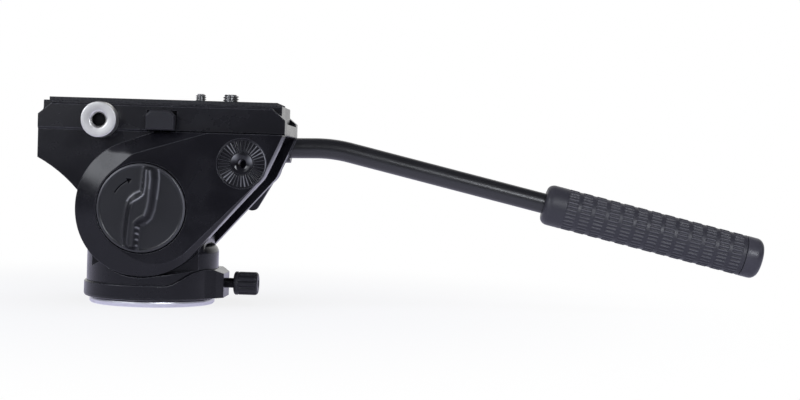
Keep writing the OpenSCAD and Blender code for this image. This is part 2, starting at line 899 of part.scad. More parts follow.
module platform_side() {
    polygon([
        [-front_reach, platform_z0 - over], [rear_reach, platform_z0 - over],
        [rear_reach, platform_top - end_chamfer[1]], [rear_reach - end_chamfer[0], platform_top + 0.01],
        [-front_reach + end_chamfer[0], platform_top + 0.01], [-front_reach, platform_top - end_chamfer[1]]
    ]);
}

module cover_screw_places() {
    apart = 6.5;
    lap = 3;
    for (x = [-apart, apart]) translate([button_x + x, pocket_end + lap, 0]) children();
}

module platform() {
    jaw_x = -plate_knob_x;
    color(black_paint) difference() {
        intersection() {
            along_x(-front_reach, rear_reach) platform_section();
            along_y(-half_w, half_w) platform_side();
        }
        box([jaw_x - jaw_w / 2 - free, jaw_x + jaw_w / 2 + free],
            [jaw_y0 - free, dovetail + over - channel_half], [jaw_z0 - free, platform_top + over]);
        translate([jaw_x, 0, plate_knob_z]) rod_y(pan_screw_r + run, -half_w - over, jaw_y0 + over);
        box([button_x - stem_w / 2 - free, button_x + stem_w / 2 + free], [-half_w - over, pocket_end],
            [platform_z0 - over, stem_z0 + stem_t + free]);
        box([button_x - button_w / 2 - free, button_x + button_w / 2 + free],
            [-half_w - over, -half_w + button_travel], [platform_z0 - over, button_foot + button_h + free]);
        box([button_x - finger_w / 2 - free, button_x + finger_w / 2 + free],
            [finger_y0 - free, finger_y1 + button_travel + free], [stem_z0, floor_z + over]);
        for (side = [0, 1]) mirror([0, side, 0]) tab_screw_places()
            translate([0, 0, platform_z0 - over])
                cylinder(r = tab_screw_r + seat, h = over + tab_bite + head_play);
        cover_screw_places()
            translate([0, 0, platform_z0 - over])
                cylinder(r = cover_screw_r + seat, h = over + cover_bite + head_gap);
    }
}

module platform_screws() {
    head_z = platform_z0 - flange_t;
    color(steel) for (side = [0, 1]) mirror([0, side, 0]) tab_screw_places() difference() {
        union() {
            translate([0, 0, head_z - screw_head_h]) cylinder(r = 1.8 * tab_screw_r, h = screw_head_h);
            translate([0, 0, head_z - over]) cylinder(r = tab_screw_r, h = flange_t + over + tab_bite);
        }
        translate([0, 0, head_z - screw_head_h - over])
            cylinder(r = 0.85 * tab_screw_r, h = over + socket_deep, $fn = 6);
    }
}

// Plate lock: a turned knob drives a jaw on to the camera plate's flank

module plate_clamp_jaw() {
    x = -plate_knob_x;
    grip = -channel_half - eased + free;
    color(bronze) along_x(x - jaw_w / 2, x + jaw_w / 2) polygon([
        [jaw_y0, jaw_z0], [grip, jaw_z0], [grip, lip_z], [grip + dovetail, lip_top],
        [grip + dovetail, jaw_top], [jaw_y0, jaw_top]
    ]);
}

module plate_lock_screw() {
    color(steel) translate([-plate_knob_x, 0, plate_knob_z])
        rod_y(pan_screw_r, -half_w - free - plate_knob_t + knob_hole_deep, jaw_y0);
}

module plate_lock_knob() {
    r = plate_knob_d / 2;
    dish = 1.4;
    hole_r = 3.9;
    rim = 0.6;
    lip = 1.6;
    color(silver) translate([-plate_knob_x, -half_w - free, plate_knob_z]) rotate([90, 0, 0]) difference() {
        rotate_extrude() polygon([
            [0, 0], [r - rim, 0], [r, rim], [r, plate_knob_t - rim], [r - rim, plate_knob_t],
            [r - lip, plate_knob_t], [hole_r, plate_knob_t - dish], [hole_r, plate_knob_t - knob_hole_deep],
            [0, plate_knob_t - knob_hole_deep]
        ]);
        translate([0, 0, -over]) cylinder(r = pan_screw_r + seat, h = plate_knob_t);
    }
}

// Safety catch: its finger rides in a stopped lane, and a push moves it to the open lane

module button_outline(in) {
    corner = 2.6;
    half = button_w / 2 - in;
    foot = button_foot + in;
    top = button_foot + button_h - in;
    translate([button_x, 0]) polygon([
        [-half, foot], [half, foot], [half, top - corner], [half - corner, top], [corner - half, top],
        [-half, top - corner]
    ]);
}

module safety_button() {
    face = -half_w - free - button_out;
    bevel = 0.8;
    color(black_plastic) {
        hull() {
            along_y(face, face + thin) button_outline(bevel);
            along_y(face + bevel, -half_w - free) button_outline(0);
        }
        box([button_x - stem_w / 2, button_x + stem_w / 2], [-half_w - over, finger_y1],
            [stem_z0, stem_z0 + stem_t]);
        box([button_x - finger_w / 2, button_x + finger_w / 2], [finger_y0, finger_y1],
            [stem_z0 + stem_t - over, floor_z + finger_up]);
    }
}

module catch_spring() {
    mean_r = 1.35;
    wire = 0.3;
    turns = 6;
    color(steel) translate([button_x, finger_y1 + slide_gap / 2, stem_z0 + stem_t / 2])
        coil(mean_r, wire, spring_room - slide_gap, turns);
}

module catch_cover() {
    color(steel) difference() {
        box([button_x - cover_half, button_x + cover_half], [-cheek_in + free, pocket_end + cover_lap],
            [platform_z0 - cover_t, platform_z0]);
        cover_screw_places()
            translate([0, 0, platform_z0 - cover_t - over])
                cylinder(r = cover_screw_r + head_play, h = cover_t + 2 * over);
    }
}

module cover_screws() {
    head_h = 1.4;
    color(steel) cover_screw_places() {
        translate([0, 0, platform_z0 - cover_t - head_h]) cylinder(r = 2 * cover_screw_r, h = head_h);
        translate([0, 0, platform_z0 - cover_t - head_h / 2])
            cylinder(r = cover_screw_r, h = head_h / 2 + cover_t + cover_bite);
    }
}

// Camera plate with its pad, screw slots and catch lanes

module plate_section() {
    top_half = plate_half - dovetail;
    bevel = 0.6;
    polygon([
        [-plate_half, plate_z0], [plate_half, plate_z0], [plate_half, lip_z], [top_half, lip_top],
        [top_half, plate_top - bevel], [top_half - bevel, plate_top], [-top_half + bevel, plate_top],
        [-top_half, plate_top - bevel], [-top_half, lip_top], [-plate_half, lip_z]
    ]);
}

module slot_prism(x0, x1, r, z0, z1) {
    translate([0, 0, z0]) linear_extrude(z1 - z0) {
        translate([x0, 0]) circle(r = r);
        translate([x1, 0]) circle(r = r);
        translate([x0, -r]) square([x1 - x0, 2 * r]);
    }
}

module screw_slots(z0, z1) {
    slot_prism(quarter_x - quarter_back, quarter_x + screw_play, quarter_d / 2 + slot_gap, z0, z1);
    slot_prism(three_eighth_x - screw_play, three_eighth_x + three_eighth_on, three_eighth_d / 2 + slot_gap,
        z0, z1);
}

module camera_plate() {
    lane_x0 = button_x - finger_w / 2 - plate_travel - lane_gap;
    lane_x1 = button_x + finger_w / 2 + plate_travel + lane_gap;
    lane_y0 = finger_y0 - lane_gap;
    lane_mid = finger_y1 + lane_gap;
    lane_y1 = finger_y1 + button_travel + lane_gap;
    lane_top = floor_z + finger_up + lane_gap;
    color(black_paint) difference() {
        along_x(plate_front, plate_rear) plate_section();
        screw_slots(plate_z0 - over, plate_top + over);
        slot_prism(quarter_x - quarter_back, quarter_x + screw_play, quarter_head + slot_gap,
            plate_z0 - over, plate_z0 + head_room);
        slot_prism(three_eighth_x - screw_play, three_eighth_x + three_eighth_on,
            three_eighth_head + slot_gap, plate_z0 - over, plate_z0 + head_room);
        box([lane_x0, lane_x1], [lane_y0, lane_y1], [plate_z0 - over, lane_top]);
        box([lane_x0, plate_rear + over], [lane_mid, lane_y1], [plate_z0 - over, lane_top]);
    }
}

module plate_pad() {
    color(rubber) difference() {
        box([plate_front + pad_inset, plate_rear - pad_inset], [-pad_half, pad_half], [plate_top, pad_top]);
        screw_slots(plate_top - over, pad_top + over);
    }
}

// Camera screws, each with a clip that keeps it in its slot

module slot_clip(x, r_in, r_out) {
    color(steel) translate([x, 0, plate_z0 + head_room - slide_gap - clip_t]) difference() {
        cylinder(r = r_out, h = clip_t);
        translate([0, 0, -over]) cylinder(r = r_in - neck_in + run, h = clip_t + 2 * over);
    }
}

module camera_screw(x, r, head_r) {
    head_top = plate_z0 + head_room - 2 * slide_gap - clip_t;
    tip = 0.8;
    slit = 0.9;
    color(steel) translate([x, 0, 0]) difference() {
        union() {
            translate([0, 0, head_top - head_t]) cylinder(r = head_r, h = head_t);
            translate([0, 0, head_top - over]) cylinder(r = r - neck_in, h = pad_top - head_top + 2 * over);
            translate([0, 0, pad_top]) cylinder(r = r, h = screw_stand - tip);
            translate([0, 0, pad_top + screw_stand - tip]) cylinder(r1 = r, r2 = r - tip, h = tip);
        }
        box([-head_r - over, head_r + over], [-slit, slit],
            [head_top - head_t - over, head_top - head_t + socket_deep]);
    }
}

module quarter_clip() slot_clip(quarter_x, quarter_d / 2, quarter_head - free);

module quarter_screw() camera_screw(quarter_x, quarter_d / 2, quarter_head);

module three_eighth_clip() slot_clip(three_eighth_x, three_eighth_d / 2, three_eighth_head - free);

module three_eighth_screw() camera_screw(three_eighth_x, three_eighth_d / 2, three_eighth_head);

// Pan handle, drawn about the rosette's centre and turned up by its pitch

module on_handle() at_rosette() rotate([0, -handle_up, 0]) children();

module along_grip() {
    on_handle() translate([bend_start, handle_y, tube_rise - bend_r]) rotate([0, bend_angle, 0])
        translate([reach_to_grip, 0, bend_r]) children();
}

// The bend laps into the straight stretches and is a little off their radius, so no faces coincide
module bent_rod(r, r_bend, x0, x1) {
    lap = atan(over / bend_r);
    translate([0, handle_y, tube_rise]) rod_x(r, x0, bend_start);
    translate([bend_start, handle_y, tube_rise - bend_r]) {
        rotate([90, 0, 0]) rotate([0, 0, 90 - bend_angle - lap])
            rotate_extrude(angle = bend_angle + 2 * lap) translate([bend_r, 0]) circle(r = r_bend);
        rotate([0, bend_angle, 0]) translate([0, 0, bend_r]) rod_x(r, 0, x1);
    }
}

module bracket_screw_places() {
    for (x = [sleeve_back + grub_inset, sleeve_front - grub_inset])
        translate([x, handle_y, tube_rise]) rotate([-90, 0, 0]) children();
}

module arm_outline() {
    half = 0.8 * hub_r;
    neck = 0.48 * hub_r;
    top = tube_rise + 0.63 * sleeve_r;
    circle(r = hub_r);
    polygon([[-half, 0], [half, 0], [half, tube_rise], [neck, top], [-neck, top], [-half, tube_rise]]);
}

module handle_bracket() {
    teeth_base = bracket_in + tooth_h;
    sleeve_flat = teeth_base + 0.4 * bracket_disc;
    color(black_paint) on_handle() difference() {
        union() {
            rod_y(rosette_r, teeth_base, bracket_in + bracket_disc);
            along_y(bracket_in, teeth_base + over) difference() {
                circle(r = rosette_r);
                circle(r = rosette_hub + over / 2);
                for (i = [0:rosette_teeth - 1]) rotate(360 * (i + 0.5) / rosette_teeth) tooth_gap();
            }
            along_y(bracket_in + bracket_disc - over, hub_out) arm_outline();
            intersection() {
                translate([0, handle_y, tube_rise]) rod_x(sleeve_r, sleeve_back, sleeve_front);
                box([sleeve_back - over, sleeve_front + over], [sleeve_flat, hub_out],
                    [tube_rise - hub_r, tube_rise + hub_r]);
            }
        }
        rod_y(bolt_d / 2 + run, bracket_in - over, hub_out + over);
        translate([0, handle_y, tube_rise])
            rod_x(tube_d / 2 + seat, sleeve_back + sleeve_end, sleeve_front + over);
        bracket_screw_places() cylinder(r = grub_r + seat, h = sleeve_r + over);
    }
}

module handle_tube() {
    end = reach_to_grip + sleeve_l - tube_stop;
    r_out = tube_d / 2;
    r_in = r_out - tube_wall;
    color(black_paint) on_handle() difference() {
        bent_rod(r_out, r_out - thin, sleeve_back + sleeve_end + seat, end);
        bent_rod(r_in, r_in + thin, sleeve_back, end + over);
    }
}

module bracket_screws() {
    length = sleeve_r - tube_d / 2 - head_gap;
    color(steel) on_handle() bracket_screw_places() translate([0, 0, tube_d / 2 + seat]) difference() {
        cylinder(r = grub_r, h = length);
        translate([0, 0, length - socket_deep]) cylinder(r = 0.58 * grub_r, h = socket_deep + over, $fn = 6);
    }
}

module handle_grip() {
    r = grip_d / 2;
    low = r - band_deep;
    round_n = 6;
    neck_r = tube_d / 2 + 2.6;
    color(rubber) along_grip() rotate([0, 90, 0]) difference() {
        rotate_extrude() polygon(concat(
            [[tube_d / 2 + seat, 0], [neck_r, 0]],
            [for (i = [1:round_n])
                let (a = 90 * i / round_n)
                [neck_r + (r - neck_r) * sin(a), (r - neck_r) * (1 - cos(a)) * 1.25]],
            [for (i = [0:grip_bands - 1])
                let (z = grip_nose + band_pitch * i)
                each z + band_w > sleeve_l - over ? [] : [
                    [i == 0 ? r : low, z - 2 * band_slope], [low, z - band_slope], [r, z], [r, z + band_w],
                    [low, z + band_w + band_slope]
                ]],
            [[low, sleeve_l], [tube_d / 2 + seat, sleeve_l]]
        ));
    }
}

module grip_end_cap() {
    r = grip_d / 2;
    nose = 6;
    color(black_plastic) along_grip() translate([sleeve_l, 0, 0]) rotate([0, 90, 0]) difference() {
        rotate_extrude() polygon(concat(
            [[0, 0], [r, 0], [r, cap_l - nose]],
            [for (i = [1:8]) [r - nose + nose * cos(11.25 * i), cap_l - nose + nose * sin(11.25 * i)]],
            [[0, cap_l]]
        ));
        translate([0, 0, -over]) cylinder(r = tube_d / 2 + seat, h = over);
    }
}

module lever_bolt() {
    color(steel) on_handle() rod_y(bolt_d / 2, cheek_in + over, lever_in + bolt_bite);
}

module clamp_lever() {
    lever_t = 9.5;
    tip_r = 4.4;
    lift = 1.8;
    step = 0.6;
    lean = -107;
    tip = (lever_l - tip_r) * [cos(lean), sin(lean)];
    color(black_plastic) on_handle() difference() {
        union() {
            rod_y(hub_r, lever_in, lever_in + lever_t);
            hull() {
                along_y(lever_in + lift, lever_in + lever_t - step) circle(r = hub_r - step, $fn = hull_fn);
                along_y(lever_in + 2 * lift, lever_in + lever_t - 2 * step)
                    translate(tip) circle(r = tip_r, $fn = hull_fn);
            }
        }
        rod_y(bolt_d / 2 + seat, lever_in - over, lever_in + bolt_bite + seat);
    }
}

foot_plate();
pan_spindle();
spindle_washer();
spindle_nut();
base_collar();
collar_screws();
body_casting();
pan_carrier();
pan_bush();
pan_drag_disc();
pan_brake_shoe();
pan_lock_screw();
pan_lock_knob();
tilt_axle();
axle_nut();
tilt_friction_disc();
counterbalance_spring();
damper_rotor();
left_bush();
right_bush();
left_cheek();
right_cheek();
left_rosette();
right_rosette();
axle_cap();
tilt_pressure_plate();
tilt_knob_insert();
tilt_lock_knob();
platform();
platform_screws();
plate_clamp_jaw();
plate_lock_screw();
plate_lock_knob();
safety_button();
catch_spring();
catch_cover();
cover_screws();
camera_plate();
plate_pad();
quarter_clip();
quarter_screw();
three_eighth_clip();
three_eighth_screw();
handle_bracket();
handle_tube();
bracket_screws();
handle_grip();
grip_end_cap();
lever_bolt();
clamp_lever();
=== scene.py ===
"""Looks of a fluid video head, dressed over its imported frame.

Sizes are in millimetres and become metres where a mesh or a shader takes them. +Z is up, +X is the rear
and +Y the handle side.
"""

import json
import math

import bmesh
import bpy
import numpy as np
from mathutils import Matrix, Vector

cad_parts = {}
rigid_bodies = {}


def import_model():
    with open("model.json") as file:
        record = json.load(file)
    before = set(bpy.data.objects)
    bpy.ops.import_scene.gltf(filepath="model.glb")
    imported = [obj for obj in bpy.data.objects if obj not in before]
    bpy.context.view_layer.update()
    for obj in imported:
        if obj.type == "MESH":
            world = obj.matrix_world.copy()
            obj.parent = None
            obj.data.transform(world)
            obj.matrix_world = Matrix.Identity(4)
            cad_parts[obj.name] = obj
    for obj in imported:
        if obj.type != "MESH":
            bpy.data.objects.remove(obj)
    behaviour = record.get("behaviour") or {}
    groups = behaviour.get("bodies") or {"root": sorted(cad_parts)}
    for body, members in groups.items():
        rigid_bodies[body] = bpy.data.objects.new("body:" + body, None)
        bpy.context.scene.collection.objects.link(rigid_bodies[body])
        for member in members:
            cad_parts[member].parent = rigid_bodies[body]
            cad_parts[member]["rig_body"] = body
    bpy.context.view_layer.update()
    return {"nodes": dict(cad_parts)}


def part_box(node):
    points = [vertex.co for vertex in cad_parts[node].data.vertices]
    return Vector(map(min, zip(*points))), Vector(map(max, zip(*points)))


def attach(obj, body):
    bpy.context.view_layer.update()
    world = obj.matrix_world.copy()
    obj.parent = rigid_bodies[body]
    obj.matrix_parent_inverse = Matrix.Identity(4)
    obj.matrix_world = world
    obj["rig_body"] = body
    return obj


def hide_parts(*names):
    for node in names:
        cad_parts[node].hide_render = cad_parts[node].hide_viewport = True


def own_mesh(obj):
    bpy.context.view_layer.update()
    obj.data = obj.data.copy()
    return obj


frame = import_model()
nodes = frame["nodes"]

MM = 0.001
INCH = 25.4
TURN = 2 * math.pi

# Points nearer than MERGE are one. SKIN is the room between a surface and its seat, FIT that of a screw
MERGE = 0.002
SKIN = 0.02
FIT = 0.05

# Tilt lock knob, its arrow and its insert
TILT_Z = 58.0
KNOB_R = 26.0
KNOB_BACK = 35.1
KNOB_FACE = 40.7
KNOB_RIM = 1.2
KNOB_CHAMFER = 0.4
KNOB_DISH = 0.35
GRIP_RISE = 5.0
ARROW_R = 17.6
ARROW_TIP = math.radians(107.5)
ARROW_NECK = math.radians(117.5)
ARROW_END = math.radians(151.0)
ARROW_HEAD = 1.7
ARROW_SHAFT = 0.45
ARROW_DEEP = 0.15
INSERT_R = 7.1
INSERT_L = 5.1

# Cheeks and rosettes
BOSS_OUT = 39.5
CHEEK_IN = 26.0
CHEEK_OUT = 34.0
CHEEK_R = 40.0
RING_R = 27.4
RIM_OUT = BOSS_OUT - 1.6
RIM_SHARP = 7.5
ROSETTE = np.array([57.8, 0.0, 85.5])
ROSETTE_R = 14.5
ROSETTE_HUB = 6.5
ROSETTE_SEAT = 4.0
ROSETTE_TEETH = 36
TOOTH_H = 1.2

# Pan lock knob, plate lock knob, camera screws and safety button
PAN_LOCK_Z = 13.0
PAN_KNOB_X = 50.0
PAN_KNOB_R = 7.2
PAN_KNOB_L = 14.5
PAN_KNOB_NOSE = 1.8
PAN_KNOB_BORE = 8.1
SCREW_R = 3.0
PLATE_KNOB_X = -25.3
PLATE_KNOB_Z = 108.7
PLATE_KNOB_R = 10.4
PLATE_KNOB_EDGE = 0.8
SINK_R = 5.6
SINK_DEEP = 1.7
BORE_R = 3.9
BORE_DEEP = 5.0
PAD_TOP = 122.2
SCREW_TIP = 127.2
SCREW_HEAD = 3.2

# Pan handle
HANDLE_UP = math.radians(1.4)
HANDLE_Y = 50.0
TUBE_RISE = 10.9
TUBE_R = 6.5
TUBE_WALL = 1.5
TUBE_FIRST = -15.98
TUBE_STOP = 2.5
BEND_START = 35.0
BEND = math.radians(14.3)
BEND_R = 90.0
REACH = 128.5
GRIP_L = 142.0
GRIP_R = 13.0
CAP_L = 11.5
CAP_NOSE = 5.0

# Heights of the fine relief in the finishes, and the tone of the printed arrow
GRAIN_HEIGHT = 0.1
RING_HEIGHT = 0.05
RIB_HEIGHT = 0.2
INK = (0.003, 0.003, 0.004)


# Shader nodes and groups


def add(tree, kind, inputs=None, **settings):
    """Adds one shader node. An input that is given a socket is linked, and one given a value is set."""
    made = tree.nodes.new("ShaderNode" + kind)
    for key, value in settings.items():
        setattr(made, key, value)
    for key, value in (inputs or {}).items():
        if isinstance(value, bpy.types.NodeSocket):
            tree.links.new(value, made.inputs[key])
        else:
            made.inputs[key].default_value = value
    return made


def math_node(tree, operation, a, b=0.0):
    """One step of arithmetic on sockets or numbers."""
    return add(tree, "Math", {0: a, 1: b}, operation=operation).outputs[0]


def reach_of(tree, a, b):
    """The square root of a^2 + b^2."""
    squares = [math_node(tree, "POWER", value, 2.0) for value in (a, b)]
    return math_node(tree, "SQRT", math_node(tree, "ADD", *squares))


def spread(tree, value, low, high, to_low=0.0, to_high=1.0):
    """Carries value from low..high to to_low..to_high, eased at both ends."""
    return add(
        tree,
        "MapRange",
        {"Value": value, "From Min": low, "From Max": high, "To Min": to_low, "To Max": to_high},
        interpolation_type="SMOOTHSTEP",
    ).outputs[0]


def noise(tree, place, scale, detail, rough=0.5):
    """Noise over a place, as a number about 0.5."""
    inputs = {"Vector": place, "Scale": scale, "Detail": detail, "Roughness": rough}
    return add(tree, "TexNoise", inputs).outputs[0]


def two_tone(tree, mask, low, high):
    """Mixes two tones by a mask. Each tone is a colour or a socket."""
    tones = [tone if isinstance(tone, bpy.types.NodeSocket) else (*tone, 1.0) for tone in (low, high)]
    return add(tree, "Mix", {0: mask, 6: tones[0], 7: tones[1]}, data_type="RGBA").outputs[2]


def group(name, inputs, outputs):
    """An empty shader group with named sockets, and the sockets that its nodes start from and end in."""
    tree = bpy.data.node_groups.new(name, "ShaderNodeTree")
    for key, kind, value in inputs:
        socket = tree.interface.new_socket(key, in_out="INPUT", socket_type="NodeSocket" + kind)
        if value is not None:
            socket.default_value = value
    for key, kind in outputs:
        tree.interface.new_socket(key, in_out="OUTPUT", socket_type="NodeSocket" + kind)
    return tree, tree.nodes.new("NodeGroupInput").outputs, tree.nodes.new("NodeGroupOutput").inputs


def cast_grain():
    """Grain of paint, plastic and rubber: fine noise and cells for the height, slow noise for patches."""
    tree, given, out = group(
        "cast_grain",
        [("Vector", "Vector", None), ("Fine", "Float", 2200.0), ("Patch", "Float", 60.0)],
        [("Height", "Float"), ("Patches", "Float")],
    )
    fine = noise(tree, given["Vector"], given["Fine"], 3.0, 0.6)
    spot = {"Vector": given["Vector"], "Scale": given["Fine"]}
    cells = add(tree, "TexVoronoi", spot, feature="SMOOTH_F1")
    patch = noise(tree, given["Vector"], given["Patch"], 4.0)
    height = math_node(tree, "ADD", fine, math_node(tree, "MULTIPLY", cells.outputs[0], 0.6))
    tree.links.new(height, out["Height"])
    tree.links.new(spread(tree, patch, 0.3, 0.7), out["Patches"])
    return tree


def rubbed_highlit_edges():
    """Edges rounded over a radius: the rounded normal, and a mask of where it leaves the true one.

    The mask is spread over 1 less the dot product of the two normals, and noise breaks it up. The finishes
    paint a lighter tone by it: partly edge wear, partly a painted highlight on the edges.
    """
    tree, given, out = group(
        "rubbed_highlit_edges",
        [("Vector", "Vector", None), ("Radius", "Float", 0.0005)],
        [("Edge", "Float"), ("Normal", "Vector")],
    )
    rounded = add(tree, "Bevel", {"Radius": given["Radius"]}, samples=6).outputs[0]
    true = add(tree, "NewGeometry").outputs["Normal"]
    same = add(tree, "VectorMath", {0: rounded, 1: true}, operation="DOT_PRODUCT").outputs["Value"]
    mask = spread(tree, math_node(tree, "SUBTRACT", 1.0, same), 0.004, 0.06)
    breaks = spread(tree, noise(tree, given["Vector"], 260.0, 5.0), 0.28, 0.5, 0.35, 1.0)
    tree.links.new(math_node(tree, "MULTIPLY", mask, breaks), out["Edge"])
    tree.links.new(rounded, out["Normal"])
    return tree


def lathe_rings():
    """Fine rings left by a lathe about the local Z axis: noise read along the distance from that axis."""
    tree, given, out = group(
        "lathe_rings",
        [("Vector", "Vector", None), ("Pitch", "Float", 3000.0)],
        [("Height", "Float"), ("Tone", "Float")],
    )
    parts = add(tree, "SeparateXYZ", {0: given["Vector"]}).outputs
    along = add(tree, "CombineXYZ", {0: reach_of(tree, parts[0], parts[1]), 2: parts[2]}).outputs[0]
    fine = noise(tree, along, given["Pitch"], 4.0)
    slow = noise(tree, given["Vector"], 300.0, 4.0)
    most = math_node(tree, "MULTIPLY", fine, 0.7)
    mixed = math_node(tree, "ADD", most, math_node(tree, "MULTIPLY", slow, 0.3))
    tree.links.new(fine, out["Height"])
    tree.links.new(spread(tree, mixed, 0.3, 0.7), out["Tone"])
    return tree


GRAIN = cast_grain()
EDGES = rubbed_highlit_edges()
RINGS = lathe_rings()


# Finishes


def use(tree, made, inputs):
    """Places a group in a material with its own values."""
    return add(tree, "Group", inputs, node_tree=made).outputs


def blank(name, **fixed):
    """A material with its Principled shader, whose fixed values are set on the shader's own sockets."""
    made = bpy.data.materials.new(name)
    made.use_nodes = True
    tree = made.node_tree
    shader = tree.nodes["Principled BSDF"]
    for key, value in fixed.items():
        shader.inputs[key.replace("_", " ")].default_value = value
    place = add(tree, "TexCoord").outputs["Object"]
    return made, tree, shader, place


def connect(tree, shader, **sockets):
    """Links sockets to the shader's inputs of the same names."""
    for key, socket in sockets.items():
        tree.links.new(socket, shader.inputs[key.replace("_", " ")])


def relief(tree, height, strength, distance, **normal):
    """The normal of a height, which stands on another normal where one is given."""
    inputs = {"Strength": strength, "Distance": distance * MM, "Height": height, **normal}
    return add(tree, "Bump", inputs).outputs[0]


def coated(name, dark, light, wear_and_highlight, rough, fine, depth, edge=0.5, patch=60.0, mark=None, top=None, **fixed):
    """Paint, moulded plastic or rubber: two tones in patches, a grain, and edges painted a lighter tone,
    partly wear and partly a painted highlight.

    Where a mark is given, its mask is printed over them in black, and where a top tone is given, the piece's
    own highlight_mask attribute shows where that painted highlight lies.
    """
    made, tree, shader, place = blank(name, **fixed)
    grain = use(tree, GRAIN, {"Vector": place, "Fine": fine, "Patch": patch})
    edges = use(tree, EDGES, {"Vector": place, "Radius": edge * MM})
    tone = two_tone(tree, grain["Patches"], dark, light)
    # The painted highlight: the top tone wherever the piece's attribute says.
    if top:
        highlight_mask = add(tree, "Attribute", attribute_name="highlight_mask").outputs["Fac"]
        tone = two_tone(tree, highlight_mask, tone, top)
    # Edges painted lighter: partly wear, partly a painted highlight.
    tone = two_tone(tree, edges["Edge"], tone, wear_and_highlight)
    if mark:
        printed = mark(tree, place)
        tone = two_tone(tree, printed, tone, INK)
        shine = spread(tree, printed, 0.0, 1.0, fixed["Specular_IOR_Level"], 0.0)
        connect(tree, shader, Specular_IOR_Level=shine)
    gloss = spread(tree, grain["Patches"], 0.0, 1.0, *rough)
    normal = relief(tree, grain["Height"], depth, GRAIN_HEIGHT, Normal=edges["Normal"])
    connect(tree, shader, Base_Color=tone, Roughness=gloss, Normal=normal)
    return made


def arrow_mark(tree, place):
    """A curved arrow about the tilt axis: where the distance from its arc is less than its half width.

    The half width grows with the angle over the head, and is one value along the shaft.
    """
    parts = add(tree, "SeparateXYZ", {0: place}).outputs
    up = math_node(tree, "SUBTRACT", parts[2], TILT_Z * MM)
    turn = math_node(tree, "ARCTAN2", up, parts[0])
    off = math_node(tree, "SUBTRACT", reach_of(tree, parts[0], up), ARROW_R * MM)
    slope = ARROW_HEAD * MM / (ARROW_NECK - ARROW_TIP)
    head = math_node(tree, "MULTIPLY", math_node(tree, "SUBTRACT", turn, ARROW_TIP), slope)
    in_head = math_node(tree, "LESS_THAN", turn, ARROW_NECK)
    past_head = math_node(tree, "SUBTRACT", 1.0, in_head)
    in_shaft = math_node(tree, "MULTIPLY", past_head, math_node(tree, "LESS_THAN", turn, ARROW_END))
    shaft = math_node(tree, "MULTIPLY", in_shaft, ARROW_SHAFT * MM)
    half = math_node(tree, "ADD", math_node(tree, "MULTIPLY", head, in_head), shaft)
    inside = math_node(tree, "SUBTRACT", half, math_node(tree, "ABSOLUTE", off))
    return spread(tree, inside, -0.1 * MM, 0.15 * MM)


def turned_metal(name, dark, light, rough, pitch, depth=0.25, edge=0.3, centre=(0, 0, 0), turn=(0, 0, 0)):
    """Metal cut on a lathe about an axis through centre: rings in its height, tone and roughness."""
    made, tree, shader, place = blank(name, Metallic=1.0)
    local = add(
        tree,
        "Mapping",
        {"Vector": place, "Location": tuple(c * MM for c in centre), "Rotation": turn},
        vector_type="TEXTURE",
    ).outputs[0]
    rings = use(tree, RINGS, {"Vector": local, "Pitch": pitch})
    edges = use(tree, EDGES, {"Vector": place, "Radius": edge * MM})
    tone = two_tone(tree, rings["Tone"], dark, light)
    gloss = spread(tree, rings["Tone"], 0.0, 1.0, *reversed(rough))
    normal = relief(tree, rings["Height"], depth, RING_HEIGHT, Normal=edges["Normal"])
    connect(tree, shader, Base_Color=tone, Roughness=gloss, Normal=normal)
    return made


def ribbed_pad(name, dark, light, rough):
    """Thin rubber pad: fine ribs across the plate on the faces that look up, over the grain of rubber."""
    made, tree, shader, place = blank(name, Specular_IOR_Level=0.3)
    grain = use(tree, GRAIN, {"Vector": place, "Fine": 1800.0, "Patch": 45.0})
    wave = add(tree, "TexWave", {"Vector": place, "Scale": 130.0}, bands_direction="X", wave_profile="SIN")
    ribs = wave.outputs["Fac"]
    facing = add(tree, "SeparateXYZ", {0: add(tree, "NewGeometry").outputs["Normal"]}).outputs[2]
    on_top = math_node(tree, "MULTIPLY", ribs, spread(tree, facing, 0.5, 0.9))
    height = math_node(tree, "ADD", on_top, math_node(tree, "MULTIPLY", grain["Height"], 0.2))
    tone = two_tone(tree, grain["Patches"], dark, light)
    gloss = spread(tree, ribs, 0.0, 1.0, *reversed(rough))
    connect(tree, shader, Base_Color=tone, Roughness=gloss, Normal=relief(tree, height, 0.8, RIB_HEIGHT))
    return made


# The edge tone of each finish is painted on its edges: partly wear, partly a painted highlight.
CASTING = coated(
    "satin_black_casting",
    dark=(0.0056, 0.0054, 0.0078), light=(0.0076, 0.0074, 0.0104), wear_and_highlight=(0.085, 0.085, 0.096),
    rough=(0.21, 0.28), fine=2400.0, depth=0.08, edge=0.6, Specular_IOR_Level=0.36,
)
# The same satin black, painted lighter for the platform and camera plate: painted light, as they catch more
# light than the cheeks.
LIT_PLATE_CASTING = coated(
    "satin_black_plate_painted_lighter",
    dark=(0.0100, 0.0098, 0.0124), light=(0.0120, 0.0118, 0.0148), wear_and_highlight=(0.085, 0.085, 0.096),
    rough=(0.24, 0.30), fine=2400.0, depth=0.08, edge=0.6, Specular_IOR_Level=0.38,
)
